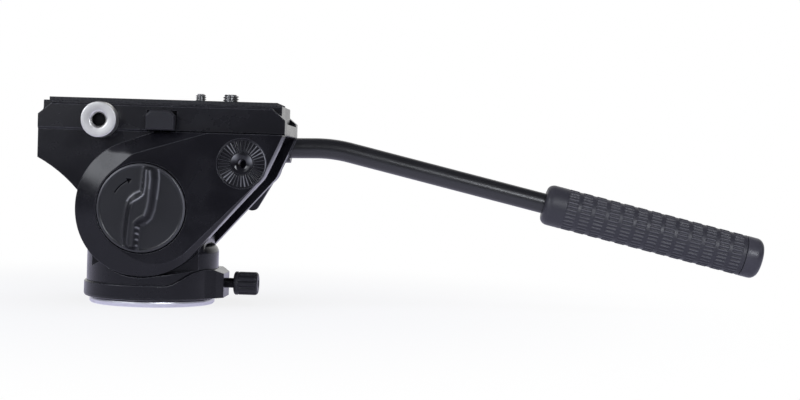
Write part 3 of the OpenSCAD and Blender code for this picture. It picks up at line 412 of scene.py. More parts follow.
# The rosette's top tone paints glints on its teeth, hub and rim.
TOOTH_CASTING = coated(
    "toothed_black_casting",
    dark=(0.0068, 0.0066, 0.0088), light=(0.0092, 0.0090, 0.0118), wear_and_highlight=(0.10, 0.10, 0.11),
    rough=(0.17, 0.24), fine=2400.0, depth=0.05, edge=0.3, top=(0.27, 0.27, 0.29), Specular_IOR_Level=0.45,
)
PLASTIC = coated(
    "moulded_black_plastic",
    dark=(0.0195, 0.0192, 0.0230), light=(0.0235, 0.0232, 0.0280), wear_and_highlight=(0.045, 0.045, 0.05),
    rough=(0.36, 0.44), fine=3000.0, depth=0.12, Specular_IOR_Level=0.3,
)
CAP_PLASTIC = coated(
    "satin_grip_cap_plastic",
    dark=(0.048, 0.046, 0.058), light=(0.058, 0.056, 0.069), wear_and_highlight=(0.06, 0.06, 0.066),
    rough=(0.34, 0.40), fine=2800.0, depth=0.1, Specular_IOR_Level=0.5,
)
# The knob's top tone is a painted highlight on its beads, ribs and rim.
KNOB_PLASTIC = coated(
    "matt_knob_plastic",
    dark=(0.0186, 0.0189, 0.0215), light=(0.0198, 0.0201, 0.0228), wear_and_highlight=(0.05, 0.05, 0.056),
    rough=(0.28, 0.29), fine=3200.0, depth=0.08, edge=0.4, mark=arrow_mark, top=(0.40, 0.40, 0.43),
    Specular_IOR_Level=0.5,
)
TUBE = coated(
    "gloss_black_tube",
    dark=(0.007, 0.007, 0.008), light=(0.010, 0.010, 0.012), wear_and_highlight=(0.05, 0.05, 0.055),
    rough=(0.31, 0.35), fine=900.0, depth=0.004, edge=0.0, patch=25.0, Specular_IOR_Level=0.85,
)
# The rubber's top tone is a painted highlight on the ridge crests.
RUBBER = coated(
    "charcoal_grip_rubber",
    dark=(0.028, 0.027, 0.035), light=(0.034, 0.033, 0.042), wear_and_highlight=(0.07, 0.068, 0.08),
    rough=(0.40, 0.48), fine=2600.0, depth=0.2, top=(0.088, 0.086, 0.099), Specular_IOR_Level=0.6,
)
PTFE = coated(
    "white_ptfe",
    dark=(0.72, 0.72, 0.69), light=(0.8, 0.8, 0.78), wear_and_highlight=(0.85, 0.85, 0.84),
    rough=(0.35, 0.45), fine=1500.0, depth=0.05,
)
PAD = ribbed_pad(
    "ribbed_pad_rubber", dark=(0.036, 0.036, 0.040), light=(0.046, 0.046, 0.051), rough=(0.62, 0.85),
)
FOOT = turned_metal(
    "turned_foot_aluminium",
    dark=(0.80, 0.80, 0.84), light=(0.92, 0.92, 0.96), rough=(0.32, 0.44), pitch=2600.0,
)
KNOB_SILVER = turned_metal(
    "turned_knob_aluminium",
    dark=(0.77, 0.76, 0.74), light=(0.87, 0.86, 0.84), rough=(0.36, 0.46), pitch=3400.0, depth=0.22,
    centre=(PLATE_KNOB_X, 0.0, PLATE_KNOB_Z), turn=(math.pi / 2, 0.0, 0.0),
)
SCREW_STEEL = turned_metal(
    "bright_screw_steel",
    dark=(0.34, 0.34, 0.34), light=(0.50, 0.50, 0.50), rough=(0.22, 0.34), pitch=4000.0,
)
BLACK_STEEL = turned_metal(
    "blackened_steel",
    dark=(0.012, 0.012, 0.013), light=(0.02, 0.02, 0.022), rough=(0.4, 0.5), pitch=2200.0,
)
STEEL = turned_metal(
    "plain_steel",
    dark=(0.44, 0.44, 0.45), light=(0.56, 0.56, 0.57), rough=(0.28, 0.42), pitch=2200.0,
)
BRONZE = turned_metal(
    "bearing_bronze",
    dark=(0.44, 0.31, 0.14), light=(0.56, 0.41, 0.20), rough=(0.28, 0.42), pitch=2600.0,
)
BRASS = turned_metal(
    "insert_brass",
    dark=(0.60, 0.46, 0.18), light=(0.72, 0.57, 0.26), rough=(0.24, 0.36), pitch=2600.0,
)

FINISH = {
    "foot_plate": FOOT, "pan_spindle": STEEL, "spindle_washer": STEEL, "spindle_nut": STEEL,
    "base_collar": CASTING, "collar_screws": STEEL, "body_casting": CASTING, "pan_carrier": FOOT,
    "pan_bush": BRONZE, "pan_drag_disc": PTFE, "pan_brake_shoe": BRONZE, "pan_lock_screw": BLACK_STEEL,
    "pan_lock_knob": PLASTIC, "tilt_axle": STEEL, "axle_nut": STEEL, "tilt_friction_disc": PTFE,
    "counterbalance_spring": STEEL, "damper_rotor": FOOT, "left_bush": BRONZE, "right_bush": BRONZE,
    "left_cheek": CASTING, "right_cheek": CASTING, "left_rosette": TOOTH_CASTING,
    "right_rosette": TOOTH_CASTING, "axle_cap": PLASTIC, "tilt_pressure_plate": STEEL,
    "tilt_knob_insert": BRASS, "tilt_lock_knob": KNOB_PLASTIC, "platform": LIT_PLATE_CASTING,
    "platform_screws": STEEL, "plate_clamp_jaw": BRONZE, "plate_lock_screw": BLACK_STEEL,
    "plate_lock_knob": KNOB_SILVER, "safety_button": PLASTIC, "catch_spring": STEEL, "catch_cover": STEEL,
    "cover_screws": STEEL, "camera_plate": LIT_PLATE_CASTING, "plate_pad": PAD, "quarter_clip": STEEL,
    "quarter_screw": SCREW_STEEL, "three_eighth_clip": STEEL, "three_eighth_screw": SCREW_STEEL,
    "handle_bracket": CASTING, "handle_tube": TUBE, "bracket_screws": STEEL, "handle_grip": RUBBER,
    "grip_end_cap": CAP_PLASTIC, "lever_bolt": STEEL, "clamp_lever": PLASTIC,
}
for name, finish in FINISH.items():
    nodes[name].data.materials.clear()
    nodes[name].data.materials.append(finish)


# Surfaces from whole arrays


def merge(mesh, sharp, outwards):
    """Merges points that lie together, turns faces outwards if asked, and smooths all but sharp edges."""
    work = bmesh.new()
    work.from_mesh(mesh)
    bmesh.ops.remove_doubles(work, verts=work.verts, dist=MERGE * MM)
    if outwards:
        bmesh.ops.recalc_face_normals(work, faces=work.faces)
    work.to_mesh(mesh)
    work.free()
    mesh.shade_smooth()
    mesh.set_sharp_from_angle(angle=math.radians(sharp))


def stand_for(name, node, mesh):
    """An object that holds the mesh, rides on the node's body and stands for the node."""
    made = bpy.data.objects.new(name, mesh)
    bpy.context.scene.collection.objects.link(made)
    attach(made, nodes[node]["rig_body"])
    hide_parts(node)
    return made


def make_piece(name, node, points, faces, finish, sharp, highlight_mask=None):
    """Puts arrays of points and faces into one piece that stands for a node.

    Merging the points closes seams and poles. A highlight_mask array, one value a point, becomes the
    attribute that the finish reads for its painted highlight.
    """
    mesh = bpy.data.meshes.new(name)
    mesh.from_pydata((points.reshape(-1, 3) * MM).tolist(), [], faces.tolist())
    if highlight_mask is not None:
        values = np.ravel(highlight_mask).astype(np.float32)
        mesh.attributes.new("highlight_mask", "FLOAT", "POINT").data.foreach_set("value", values)
    merge(mesh, sharp, True)
    mesh.materials.append(finish)
    return stand_for(name, node, mesh)


def grid_faces(rows, cols, wrap_rows=False):
    """Quads of a grid of points numbered row by row. Its columns close, and its rows do where asked."""
    i = np.arange(rows if wrap_rows else rows - 1)[:, None]
    j = np.arange(cols)[None, :]
    below, right = (i + 1) % rows, (j + 1) % cols
    corners = [i * cols + j, i * cols + right, below * cols + right, below * cols + j]
    return np.stack(corners, -1).reshape(-1, 4)


def ease(value, low, high):
    """The cubic 3t^2 - 2t^3 of t, where t runs from 0 at low to 1 at high."""
    t = np.clip((value - low) / (high - low), 0.0, 1.0)
    return t * t * (3.0 - 2.0 * t)


def bell(value, width):
    """The bell curve exp(-(value / width)^2)."""
    return np.exp(-(value / width) ** 2)


def set_in(local, origin, x, y, z):
    """Carries local points to the frame: origin + x, y and z times the local coordinates."""
    return np.asarray(origin) + local @ np.array([x, y, z], float)


def angles(cols):
    """Angles of the columns of a turned surface."""
    return np.linspace(0.0, TURN, cols, endpoint=False)


def turned(radius, height, cols):
    """A profile turned about local Z: (r cos a, r sin a, h), with angle a across the columns.

    The radius is one value a row, or one a row and column.
    """
    a = angles(cols)
    radius = np.reshape(radius, (len(height), -1))
    return np.stack([radius * np.cos(a), radius * np.sin(a), np.reshape(height, (-1, 1)) + 0 * a], -1)


def arc(centre, radius, start, end, count):
    """Points (radius, height) of a profile's rounding about centre, from start to end in degrees."""
    a = np.radians(np.linspace(start, end, count))
    return np.stack([centre[0] + radius * np.cos(a), centre[1] + radius * np.sin(a)], -1)


def level(radii, height):
    """Points (radius, height) of a profile's stretch at one height."""
    return np.stack([radii, np.full(len(radii), height)], -1)


def path_distance(points, path, closed=False):
    """Least distance of points to the sides of a path, open or closed on itself."""
    path = np.asarray(path, float)
    a = path if closed else path[:-1]
    side = (np.roll(path, -1, 0) if closed else path[1:]) - a
    to = points[..., None, :] - a
    t = np.clip((to * side).sum(-1) / (side * side).sum(-1), 0.0, 1.0)
    return np.linalg.norm(to - t[..., None] * side, axis=-1).min(-1)


def outline_distance(points, outline):
    """Signed distance of points to a closed outline, less than 0 inside.

    A point is inside where a level line from it crosses the outline an odd number of times.
    """
    side = np.roll(outline, -1, 0) - outline
    x, y = points[..., None, 0], points[..., None, 1]
    spans = (outline[:, 1] > y) != (outline[:, 1] + side[:, 1] > y)
    drop = np.where(np.abs(side[:, 1]) < 1e-9, 1e-9, side[:, 1])
    meet = outline[:, 0] + (y - outline[:, 1]) * side[:, 0] / drop
    inside = ((x < meet) & spans).sum(-1) % 2 == 1
    return path_distance(points, outline, True) * np.where(inside, -1.0, 1.0)


def around(cols, spots):
    """Weight of each column of a turned surface: the largest of bell curves about spots, in degrees."""
    a = np.arange(cols) * 360.0 / cols
    return np.max([bell((a - at + 180.0) % 360.0 - 180.0, width) for at, width in spots], axis=0)


# Axes of a turned piece on the near side and on the handle side: across, up and out
NEAR = ([1, 0, 0], [0, 0, 1], [0, -1, 0])
FAR = ([-1, 0, 0], [0, 0, 1], [0, 1, 0])


# Tilt lock knob: a disc with a winding grip


GRIP_FOOT = np.array([
    (0.7, 24.5), (3.0, 24.8), (9.8, 23.3), (10.5, 17.5), (10.1, 11.5), (9.4, 5.5), (8.5, -0.8), (6.7, -5.9),
    (3.9, -8.6), (0.5, -10.0),
])
GRIP_TOP = np.array([
    (3.8, 21.9), (4.7, 22.3), (5.8, 21.7), (6.2, 17.1), (5.8, 11.5), (5.3, 4.5), (4.5, 0.0), (3.2, -4.0),
    (0.4, -5.6), (-1.7, -7.2), (-2.7, -8.5),
])
GRIP_BEADS = ((0.14, 0.65), (0.18, 0.65))
GRIP_RIBS = (-11.7, -15.2, -18.7, -22.3)
# Width of the painted highlight lines, and the lines: each a weight and points, bright where light catches
# them, faint on the shaded side.
HIGHLIGHT_WIDTH = 0.5
GRIP_HIGHLIGHTS = (
    (0.14, ((1.0, 24.2), (0.3, 17.1), (-0.6, 10.0))),
    (0.52, ((-8.0, 4.1), (-6.5, 6.1), (-3.9, 8.3), (-0.6, 9.9))),
    (0.62, ((-5.4, 2.6), (-3.2, 4.0), (-0.4, 5.6), (1.7, 7.2), (2.7, 8.5))),
    (0.40, ((2.7, 8.5), (3.5, 13.3), (3.8, 21.9))),
    (0.42, ((10.0, 22.8), (10.5, 17.5), (10.1, 11.5), (9.4, 5.5))),
    (0.46, GRIP_TOP[2:5]),
    (0.24, GRIP_TOP[4:8]),
    (0.20, GRIP_FOOT[5:9]),
    (0.02, -GRIP_FOOT[3:7]),
    (0.03, -GRIP_TOP[3:6]),
)


def grip_rise(x, y):
    """Height of the winding grip: 0 on its foot outline, full on its top outline, sloping between.

    Both outlines are one half and the same half turned by 180 degrees. A bead with a bell curve's section
    runs along both, and such ribs cross the two steep flanks. The second result is the share of painted
    highlight on the beads, by each line's own weight, and on the ribs: bright where light catches them,
    faint where they lie in shade.
    """
    at = np.stack([x, y], -1)
    foot, top = (outline_distance(at, np.concatenate([half, -half])) for half in (GRIP_FOOT, GRIP_TOP))
    inside, outside = np.clip(-foot, 0, None), np.clip(top, 0, None)
    share = inside / (inside + outside + 1e-9)
    rise = GRIP_RISE * (0.4 * share + 0.6 * ease(share, 0.0, 1.0))
    for (high, width), off in zip(GRIP_BEADS, (foot, top)):
        rise += high * bell(off, width)
    wear_and_highlight = [weight * bell(path_distance(at, line), HIGHLIGHT_WIDTH) for weight, line in GRIP_HIGHLIGHTS]
    glint = np.max(wear_and_highlight, axis=0)
    flank = ease(share, 0.05, 0.25) * (1 - ease(share, 0.8, 1.0))
    for middle in GRIP_RIBS:
        rib = [(-1.5, middle + 0.6), (0.5, middle - 0.6)]
        lower, upper = path_distance(at, rib), path_distance(-at, rib)
        rise += 0.6 * flank * bell(np.minimum(lower, upper), 0.75)
        # Painted highlight on the ribs: strong on the lower arm, faint on the upper.
        shine = np.maximum(0.75 * bell(lower, HIGHLIGHT_WIDTH), 0.15 * bell(upper, HIGHLIGHT_WIDTH))
        glint = np.maximum(glint, flank * shine)
    return rise, glint


def arrow_dent(x, y):
    """A shallow curved arrow: an arc of radius ARROW_R with a triangular head at its clockwise end."""
    off, turn = np.abs(np.hypot(x, y) - ARROW_R), np.arctan2(y, x)
    head = ARROW_HEAD * (turn - ARROW_TIP) / (ARROW_NECK - ARROW_TIP)
    half = np.where(turn < ARROW_NECK, head, np.where(turn < ARROW_END, ARROW_SHAFT, -1.0))
    return ARROW_DEEP * ease(half - off, -0.15, 0.2)


def tilt_knob():
    """The knob's face is a height over a polar grid, and its rim, wall, back and insert seat are turned.

    The rim gets a painted highlight at its upper left and its right, by bell curves of the angle.
    """
    cols, rows = 520, 136
    seat = KNOB_BACK + INSERT_L
    rim = arc((KNOB_R - KNOB_RIM, KNOB_FACE - KNOB_RIM), KNOB_RIM, 90, 0, 7)
    profile = np.concatenate([
        level(np.linspace(0.0, KNOB_R - KNOB_RIM - 0.1, rows), KNOB_FACE),
        rim,
        [(KNOB_R, KNOB_BACK + KNOB_CHAMFER), (KNOB_R - KNOB_CHAMFER, KNOB_BACK)],
        [(INSERT_R, KNOB_BACK), (INSERT_R, seat), (0.0, seat)],
    ])
    points = turned(*profile.T, cols)
    x, y = points[:rows, :, 0], points[:rows, :, 1]
    rise, glint = grip_rise(x, y)
    dish = KNOB_DISH * ease(np.hypot(x, y), KNOB_R - 1.4, KNOB_R - 2.4)
    points[:rows, :, 2] += rise - arrow_dent(x, y) - dish
    highlight_mask = np.zeros(points.shape[:2])
    highlight_mask[:rows] = glint
    # Painted highlight on the rim, at its upper left and its right.
    highlight_mask[rows:rows + len(rim) - 2] = 0.04 + 0.22 * around(cols, ((130.0, 40.0), (5.0, 35.0)))
    place = set_in(points, (0, 0, TILT_Z), *NEAR)
    faces = grid_faces(len(profile), cols)
    make_piece("tilt_knob_with_grip", "tilt_lock_knob", place, faces, KNOB_PLASTIC, sharp=75.0, highlight_mask=highlight_mask)


# Toothed rosettes


# Painted glints on the rosette teeth, hub and rim: each an angle round the axis and a width, in degrees.
CREST_GLINTS = ((127.0, 9.0), (36.0, 16.0), (226.0, 14.0), (279.0, 14.0))
HUB_GLINTS = ((138.0, 22.0), (22.0, 22.0))
RIM_GLINTS = ((12.0, 32.0),)


def rosette(name, node, sides, hole):
    """Radial teeth: between hub and rim, the face falls by a cosine of the angle, deeper with the radius.

    The profile goes on round the seat and the bush in the cheek and back through the hole, so its rows
    close. Crests, hub and rim get painted glints in a few spots round the axis, each an angle and a width.
    """
    steps, rows = 12, 9
    cols = ROSETTE_TEETH * steps
    top = BOSS_OUT - 0.05
    groove = top - 1.0
    seat, back = BOSS_OUT - ROSETTE_SEAT + SKIN, CHEEK_IN + SKIN
    bush, wall = ROSETTE_HUB - 1.0, ROSETTE_R - SKIN
    face = np.linspace(ROSETTE_HUB + 0.55, ROSETTE_R - 1.0, rows)
    hub = arc((ROSETTE_HUB - 0.45, top - 0.4), 0.4, 90, 0, 5)
    profile = np.concatenate([
        [(hole, groove), (hole + 0.4, top - 0.1)],
        hub,
        [(ROSETTE_HUB + 0.1, groove)],
        level(face, top),
        [(ROSETTE_R - 0.9, groove)],
        arc((ROSETTE_R - 0.45, top - 0.3), 0.4, 160, 10, 7),
        [(wall, top - 0.6), (wall, seat), (bush, seat), (bush, back), (hole, back)],
    ])
    points = turned(*profile.T, cols)
    wave = 0.5 - 0.5 * np.cos(TURN * np.arange(cols) / steps)
    depth = TOOTH_H * np.clip((face - 3.0) / (ROSETTE_R - 3.0), 0, 1)
    first = len(hub) + 3
    crown = first + rows + 2
    points[first:first + rows, :, 2] -= depth[:, None] * wave
    highlight_mask = np.zeros(points.shape[:2])
    # Painted glints: a light tone on the crests, hub and rim in those spots.
    highlight_mask[first:first + rows] = (1 - wave) ** 3 * (0.07 + 0.93 * around(cols, CREST_GLINTS))
    highlight_mask[2:first - 1] = around(cols, HUB_GLINTS)
    highlight_mask[crown:crown + 4] = around(cols, RIM_GLINTS)
    faces = grid_faces(len(profile), cols, True)
    place = set_in(points, ROSETTE, *sides)
    make_piece(name, node, place, faces, TOOTH_CASTING, sharp=65.0, highlight_mask=highlight_mask)


# Pan lock knob and camera screws


def pan_knob():
    """A turned knob whose radius loses a rounded flute at 10 angles, less so towards its collar and nose."""
    cols, rows, flutes = 160, 12, 10
    bore, wall, rim = SCREW_R + FIT, PAN_KNOB_R - 0.15, PAN_KNOB_R - 0.1
    nose = PAN_KNOB_L - PAN_KNOB_NOSE
    profile = np.concatenate([
        [(bore, 0.0), (PAN_KNOB_R - 1.2, 0.0), (PAN_KNOB_R - 0.5, 0.35)],
        [(rim, 0.9), (rim, 2.2), (PAN_KNOB_R - 0.5, 2.6)],
        np.stack([np.full(rows, wall), np.linspace(3.1, nose - 0.1, rows)], -1),
        arc((wall - PAN_KNOB_NOSE, nose), PAN_KNOB_NOSE, 0, 90, 8),
        [(2.6, PAN_KNOB_L - 0.05), (2.2, PAN_KNOB_L - 0.5), (0.0, PAN_KNOB_L - 0.5)],
    ])
    radius, height = profile.T
    dip = (0.5 + 0.5 * np.cos(flutes * angles(cols))) ** 3
    amount = 0.95 * ease(height, 2.6, 3.8) * (1 - ease(height, PAN_KNOB_L - 1.6, PAN_KNOB_L))
    outside = turned(radius[:, None] - amount[:, None] * dip, height, cols)
    inside = turned([0.0, bore, bore], [PAN_KNOB_BORE, PAN_KNOB_BORE, 0.0], cols)
    points = np.concatenate([inside, outside])
    place = set_in(points, (PAN_KNOB_X, 0, PAN_LOCK_Z), [0, 0, -1], [0, 1, 0], [1, 0, 0])
    faces = grid_faces(len(points), cols)
    make_piece("fluted_pan_knob", "pan_lock_knob", place, faces, PLASTIC, sharp=40.0)


def camera_screw(name, node, x, r, head_r, pitch):
    """A screw whose thread is a triangle wave of height / pitch less angle / turn, and whose tip tapers."""
    cols, rows = 48, 44
    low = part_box(node)[0].z / MM
    head_top, neck = low + SCREW_HEAD, r - 0.7
    rise = np.linspace(PAD_TOP, SCREW_TIP, rows)
    head = [
        (0.0, low), (head_r - 0.4, low), (head_r, low + 0.4),
        (head_r, head_top - 0.3), (head_r - 0.3, head_top), (neck, head_top), (neck, PAD_TOP - 0.05),
    ]
    thread = np.stack([np.full(rows, r), rise], -1)
    profile = np.concatenate([head, thread, [(r - 1.5, SCREW_TIP), (0.0, SCREW_TIP)]])
    swept = profile[:, :1] + np.zeros(cols)
    wave = np.abs(((rise[:, None] - PAD_TOP) / pitch - angles(cols) / TURN) % 1.0 * 2.0 - 1.0)
    tip = ease(rise, SCREW_TIP - 1.0, SCREW_TIP)[:, None]
    cut = 0.62 * pitch * ease(wave, 0.1, 0.95) * (1 - 0.5 * tip)
    swept[len(head):len(head) + rows] = r - cut - 0.9 * tip
    points = turned(swept, profile[:, 1], cols) + np.array([x, 0.0, 0.0])
    make_piece(name, node, points, grid_faces(len(profile), cols), SCREW_STEEL, sharp=50.0)


# Pan handle


def handle_frame(x, z):
    """Carries points of the handle's plane, about the rosette and pitched up, to the frame."""
    c, s = math.cos(HANDLE_UP), math.sin(HANDLE_UP)
    return np.stack([ROSETTE[0] + x * c - z * s, np.full_like(x, HANDLE_Y), ROSETTE[2] + x * s + z * c], -1)


def handle_path(first, last):
    """Centre line of the tube: straight, an arc of BEND_R through BEND, and straight again up to last."""
    turn = np.linspace(0.0, BEND, 25)[1:-1]
    lead = np.array([first, 0.0, BEND_START])
    run = np.array([0.0, last * 0.5, last])
    end_x = BEND_START + BEND_R * math.sin(BEND)
    end_z = TUBE_RISE - BEND_R * (1 - math.cos(BEND))
    x = np.concatenate([lead, BEND_START + BEND_R * np.sin(turn), end_x + run * math.cos(BEND)])
    drop = BEND_R * (1 - np.cos(turn))
    z = np.concatenate([np.full(len(lead), TUBE_RISE), TUBE_RISE - drop, end_z - run * math.sin(BEND)])
    return handle_frame(x, z)


def handle_tube():
    """A ring carried along the tube's centre line, out along the outside and back along the bore."""
    cols = 56
    path = handle_path(TUBE_FIRST, REACH + GRIP_L - CAP_L - TUBE_STOP)
    way = np.gradient(path, axis=0)
    way /= np.linalg.norm(way, axis=1, keepdims=True)
    side = np.array([0.0, 1.0, 0.0])
    up = np.cross(way, side)
    a = angles(cols)[:, None]
    ring = up[:, None] * np.cos(a) + side * np.sin(a)
    outer = path[:, None] + TUBE_R * ring
    inner = path[::-1, None] + (TUBE_R - TUBE_WALL) * ring[::-1]
    points = np.concatenate([outer, inner])
    faces = grid_faces(len(points), cols, True)
    make_piece("bent_handle_tube", "handle_tube", points, faces, TUBE, sharp=40.0)


def on_grip(points):
    """Carries points turned about the grip's axis to the frame, at the tube's second straight."""
    fall = BEND - HANDLE_UP
    up = [math.sin(fall), 0.0, math.cos(fall)]
    along = [math.cos(fall), 0.0, -math.sin(fall)]
    return set_in(points, handle_path(0.0, REACH)[-1], up, [0.0, 1.0, 0.0], along)


def rubber_grip():
    """Radius over angle and length: a rounded nose, then bands of ridges set apart by low rings.

    The ridges of a band follow cos(32 a), eased into flat tops, and each band is eased in and out along it.
    Their crests get a painted highlight.
    """
    ridges, bands = 32, 13
    cols = ridges * 10
    length, first, pitch, width = GRIP_L - CAP_L, 14.2, 8.95, 6.0
    nose_r, nose_l = 3.9, 4.9
    ring_deep, groove_deep = 0.3, 0.65
    ramp = np.array([-0.7, -0.35, -0.05, 0.3, 0.8])
    steps = np.concatenate([ramp, [width / 2], width - ramp[::-1]])
    turn = np.linspace(0.0, math.pi / 2, 12)
    rows = np.concatenate([
        nose_l * (1 - np.cos(turn)),
        np.linspace(6.0, 13.2, 6),
        (first + pitch * np.arange(bands)[:, None] + steps).ravel(),
        [length - 0.5, length - 0.1],
    ])
    base = np.full(len(rows), GRIP_R)
    base[:len(turn)] = GRIP_R - nose_r + nose_r * np.sin(turn)
    base[-1] -= 0.35
    within = (rows - first) - pitch * np.clip(np.floor((rows - first) / pitch + 0.1), 0, bands - 1)
    band = ease(within, -0.4, 0.3) * (1 - ease(within, width - 0.3, width + 0.4)) * (rows > first - 1)
    plain = (rows < first - 0.5) | (rows > length - 0.6)
    low = np.where(plain, 0.0, ring_deep * (1 - band))
    crest = ease(np.cos(ridges * angles(cols)), -0.5, 0.75)
    swept = (base - low)[:, None] - (groove_deep * band)[:, None] * (1 - crest)
    ends = np.zeros((1, cols))
    bore = ends + TUBE_R + SKIN
    # Painted highlight on the crests of the ridges.
    highlight_mask = np.concatenate([ends, band[:, None] * ease(crest, 0.7, 1.0), ends])
    height = np.concatenate([[0.0], rows, [length]])
    points = on_grip(turned(np.concatenate([bore, swept, bore]), height, cols))
    faces = grid_faces(len(height), cols, True)
    make_piece("ridged_rubber_grip", "handle_grip", points, faces, RUBBER, sharp=50.0, highlight_mask=highlight_mask)


def end_cap():
    """A turned cap with a rounded end and a fine groove where it meets the rubber."""
    cols, base = 96, GRIP_L - CAP_L
    profile = np.concatenate([
        [(0.0, base + SKIN), (GRIP_R - 0.6, base + SKIN), (GRIP_R - 0.1, base + 0.3), (GRIP_R, base + 0.9)],
        arc((GRIP_R - CAP_NOSE, GRIP_L - CAP_NOSE), CAP_NOSE, 0, 90, 14),
        [(4.0, GRIP_L), (0.0, GRIP_L - 0.1)],
    ])
    points = on_grip(turned(*profile.T, cols))
    faces = grid_faces(len(profile), cols)
    make_piece("rounded_grip_cap", "grip_end_cap", points, faces, CAP_PLASTIC, sharp=40.0)


tilt_knob()
rosette("near_rosette_teeth", "left_rosette", NEAR, hole=2.5)
rosette("far_rosette_teeth", "right_rosette", FAR, hole=3.04)
pan_knob()
camera_screw("quarter_inch_screw", "quarter_screw", x=26.4, r=INCH / 8, head_r=6.5, pitch=INCH / 20)
camera_screw(
    "three_eighth_inch_screw", "three_eighth_screw", x=44.7, r=INCH * 3 / 16, head_r=7.5, pitch=INCH / 16,
)
handle_tube()
rubber_grip()
end_cap()


# Castings: merged copies of the solids, smooth over their curves


def smooth_copy(node, sharp=30.0):
    """A merged copy of a node's mesh, shaded smooth, whose edges over the angle stay sharp."""
    mesh = nodes[node].data.copy()
    merge(mesh, sharp, False)
    return stand_for(node + "_dressed", node, mesh)


def read(items, key, width=1, kind=np.float64):
    """All values of a mesh's items as one array, with a row an item where a value is a vector."""
    values = np.empty(len(items) * width, kind)
    items.foreach_get(key, values)
    return values.reshape(-1, width) if width > 1 else values


def tilt_angle(points):
    """Angle of points about the tilt axis from +X towards +Z, in degrees from 0 to 360."""
    return np.degrees(np.arctan2(points[:, 2] - TILT_Z, points[:, 0])) % 360.0


def fuller_rim(made):
    """Carries a cheek's lower outer rim out to RIM_OUT along Y, by a share that its angle gives.

    The share is eased from 0 to 1 between 168 and 240 degrees, and back between 285 and 325 degrees.
    """
    mesh = made.data
    points = read(mesh.vertices, "co", 3) / MM
    turn = tilt_angle(points)
    share = ease(turn, 168.0, 240.0) * (1 - ease(turn, 285.0, 325.0))
    rim = CHEEK_OUT + share * (RIM_OUT - CHEEK_OUT)
    side = np.sign(points[:, 1])
    reach = np.hypot(points[:, 0], points[:, 2] - TILT_Z)
    on_rim = (np.abs(np.abs(points[:, 1]) - CHEEK_OUT) < 0.3) & (reach > CHEEK_R - 1.5)
    points[:, 1] = np.where(on_rim, side * rim, points[:, 1])
    mesh.vertices.foreach_set("co", (points * MM).ravel())
    mesh.update()
    mesh.set_sharp_from_angle(angle=math.radians(RIM_SHARP))
    smooth_bevel(mesh, np.radians(turn), side, (BOSS_OUT - rim) / (CHEEK_R - RING_R))


def smooth_bevel(mesh, a, side, slope):
    """Sets the normals of the bevel between a cheek's ring and its rim, where the rim's share grows.

    At angle a they are (slope cos a, 1, slope sin a), where slope is the bevel's fall over its width, so
    that it shows no folds.
    """
    smooth = np.stack([slope * np.cos(a), side, slope * np.sin(a)], -1) / np.hypot(1.0, slope)[:, None]
    middle = read(mesh.polygons, "center", 3) / MM
    flat = np.abs(read(mesh.polygons, "normal", 3)[:, 1])
    out, angle = np.abs(middle[:, 1]), tilt_angle(middle)
    bevel = (flat > 0.85) & (out > CHEEK_OUT + 0.1) & (out < BOSS_OUT - 0.1)
    bevel &= (angle > 165.0) & (angle < 245.0)
    chosen = np.repeat(bevel, read(mesh.polygons, "loop_total", kind=np.int32))
    corner = read(mesh.loops, "vertex_index", kind=np.int32)
    mesh.normals_split_custom_set(np.where(chosen[:, None], smooth[corner], 0.0).tolist())


def plate_knob():
    """A turned knob: a rounded rim, a face that falls slightly inwards, a countersink and a bore.

    The countersink's radius falls evenly while its height follows a sine. The bore's faces get blackened
    steel, a painted shade for the deep bore.
    """
    cols, steps = 128, 8
    low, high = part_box("plate_lock_knob")
    deep = (high.y - low.y) / MM
    face, floor, screw = deep - 0.25, deep - BORE_DEEP, SCREW_R + FIT
    fall = 1 - np.sin(np.radians(np.linspace(90, 175, steps)))
    profile = np.concatenate([
        [(screw, 0.0), (PLATE_KNOB_R - 0.6, 0.0), (PLATE_KNOB_R, 0.6)],
        arc((PLATE_KNOB_R - PLATE_KNOB_EDGE, deep - PLATE_KNOB_EDGE), PLATE_KNOB_EDGE, 0, 90, 7),
        np.stack([np.linspace(SINK_R, BORE_R, steps), face - SINK_DEEP * fall], -1),
        [(BORE_R, floor), (screw, floor)],
    ])
    points = set_in(turned(*profile.T, cols), (PLATE_KNOB_X, high.y / MM, PLATE_KNOB_Z), *NEAR)
    faces = grid_faces(len(profile), cols, True)
    mesh = make_piece("turned_plate_knob", "plate_lock_knob", points, faces, KNOB_SILVER, sharp=30.0).data
    # Painted shade: the bore's faces in blackened steel.
    mesh.materials.append(BLACK_STEEL)
    middle = read(mesh.polygons, "center", 3) / MM
    in_bore = np.hypot(middle[:, 0] - PLATE_KNOB_X, middle[:, 2] - PLATE_KNOB_Z) < BORE_R + FIT
    mesh.polygons.foreach_set("material_index", in_bore.astype(np.int32))


def pressed_spring():
    """A smooth-shaded copy of the catch's spring, with a mesh of its own."""
    made = smooth_copy("catch_spring")
    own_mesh(made)


for node in ("handle_bracket", "clamp_lever", "foot_plate", "axle_cap"):
    smooth_copy(node)
smooth_copy("base_collar", 20.0)
smooth_copy("body_casting", 11.0)
for node in ("left_cheek", "right_cheek"):
    fuller_rim(smooth_copy(node))
plate_knob()
pressed_spring()


# Floor, light and camera, in metres


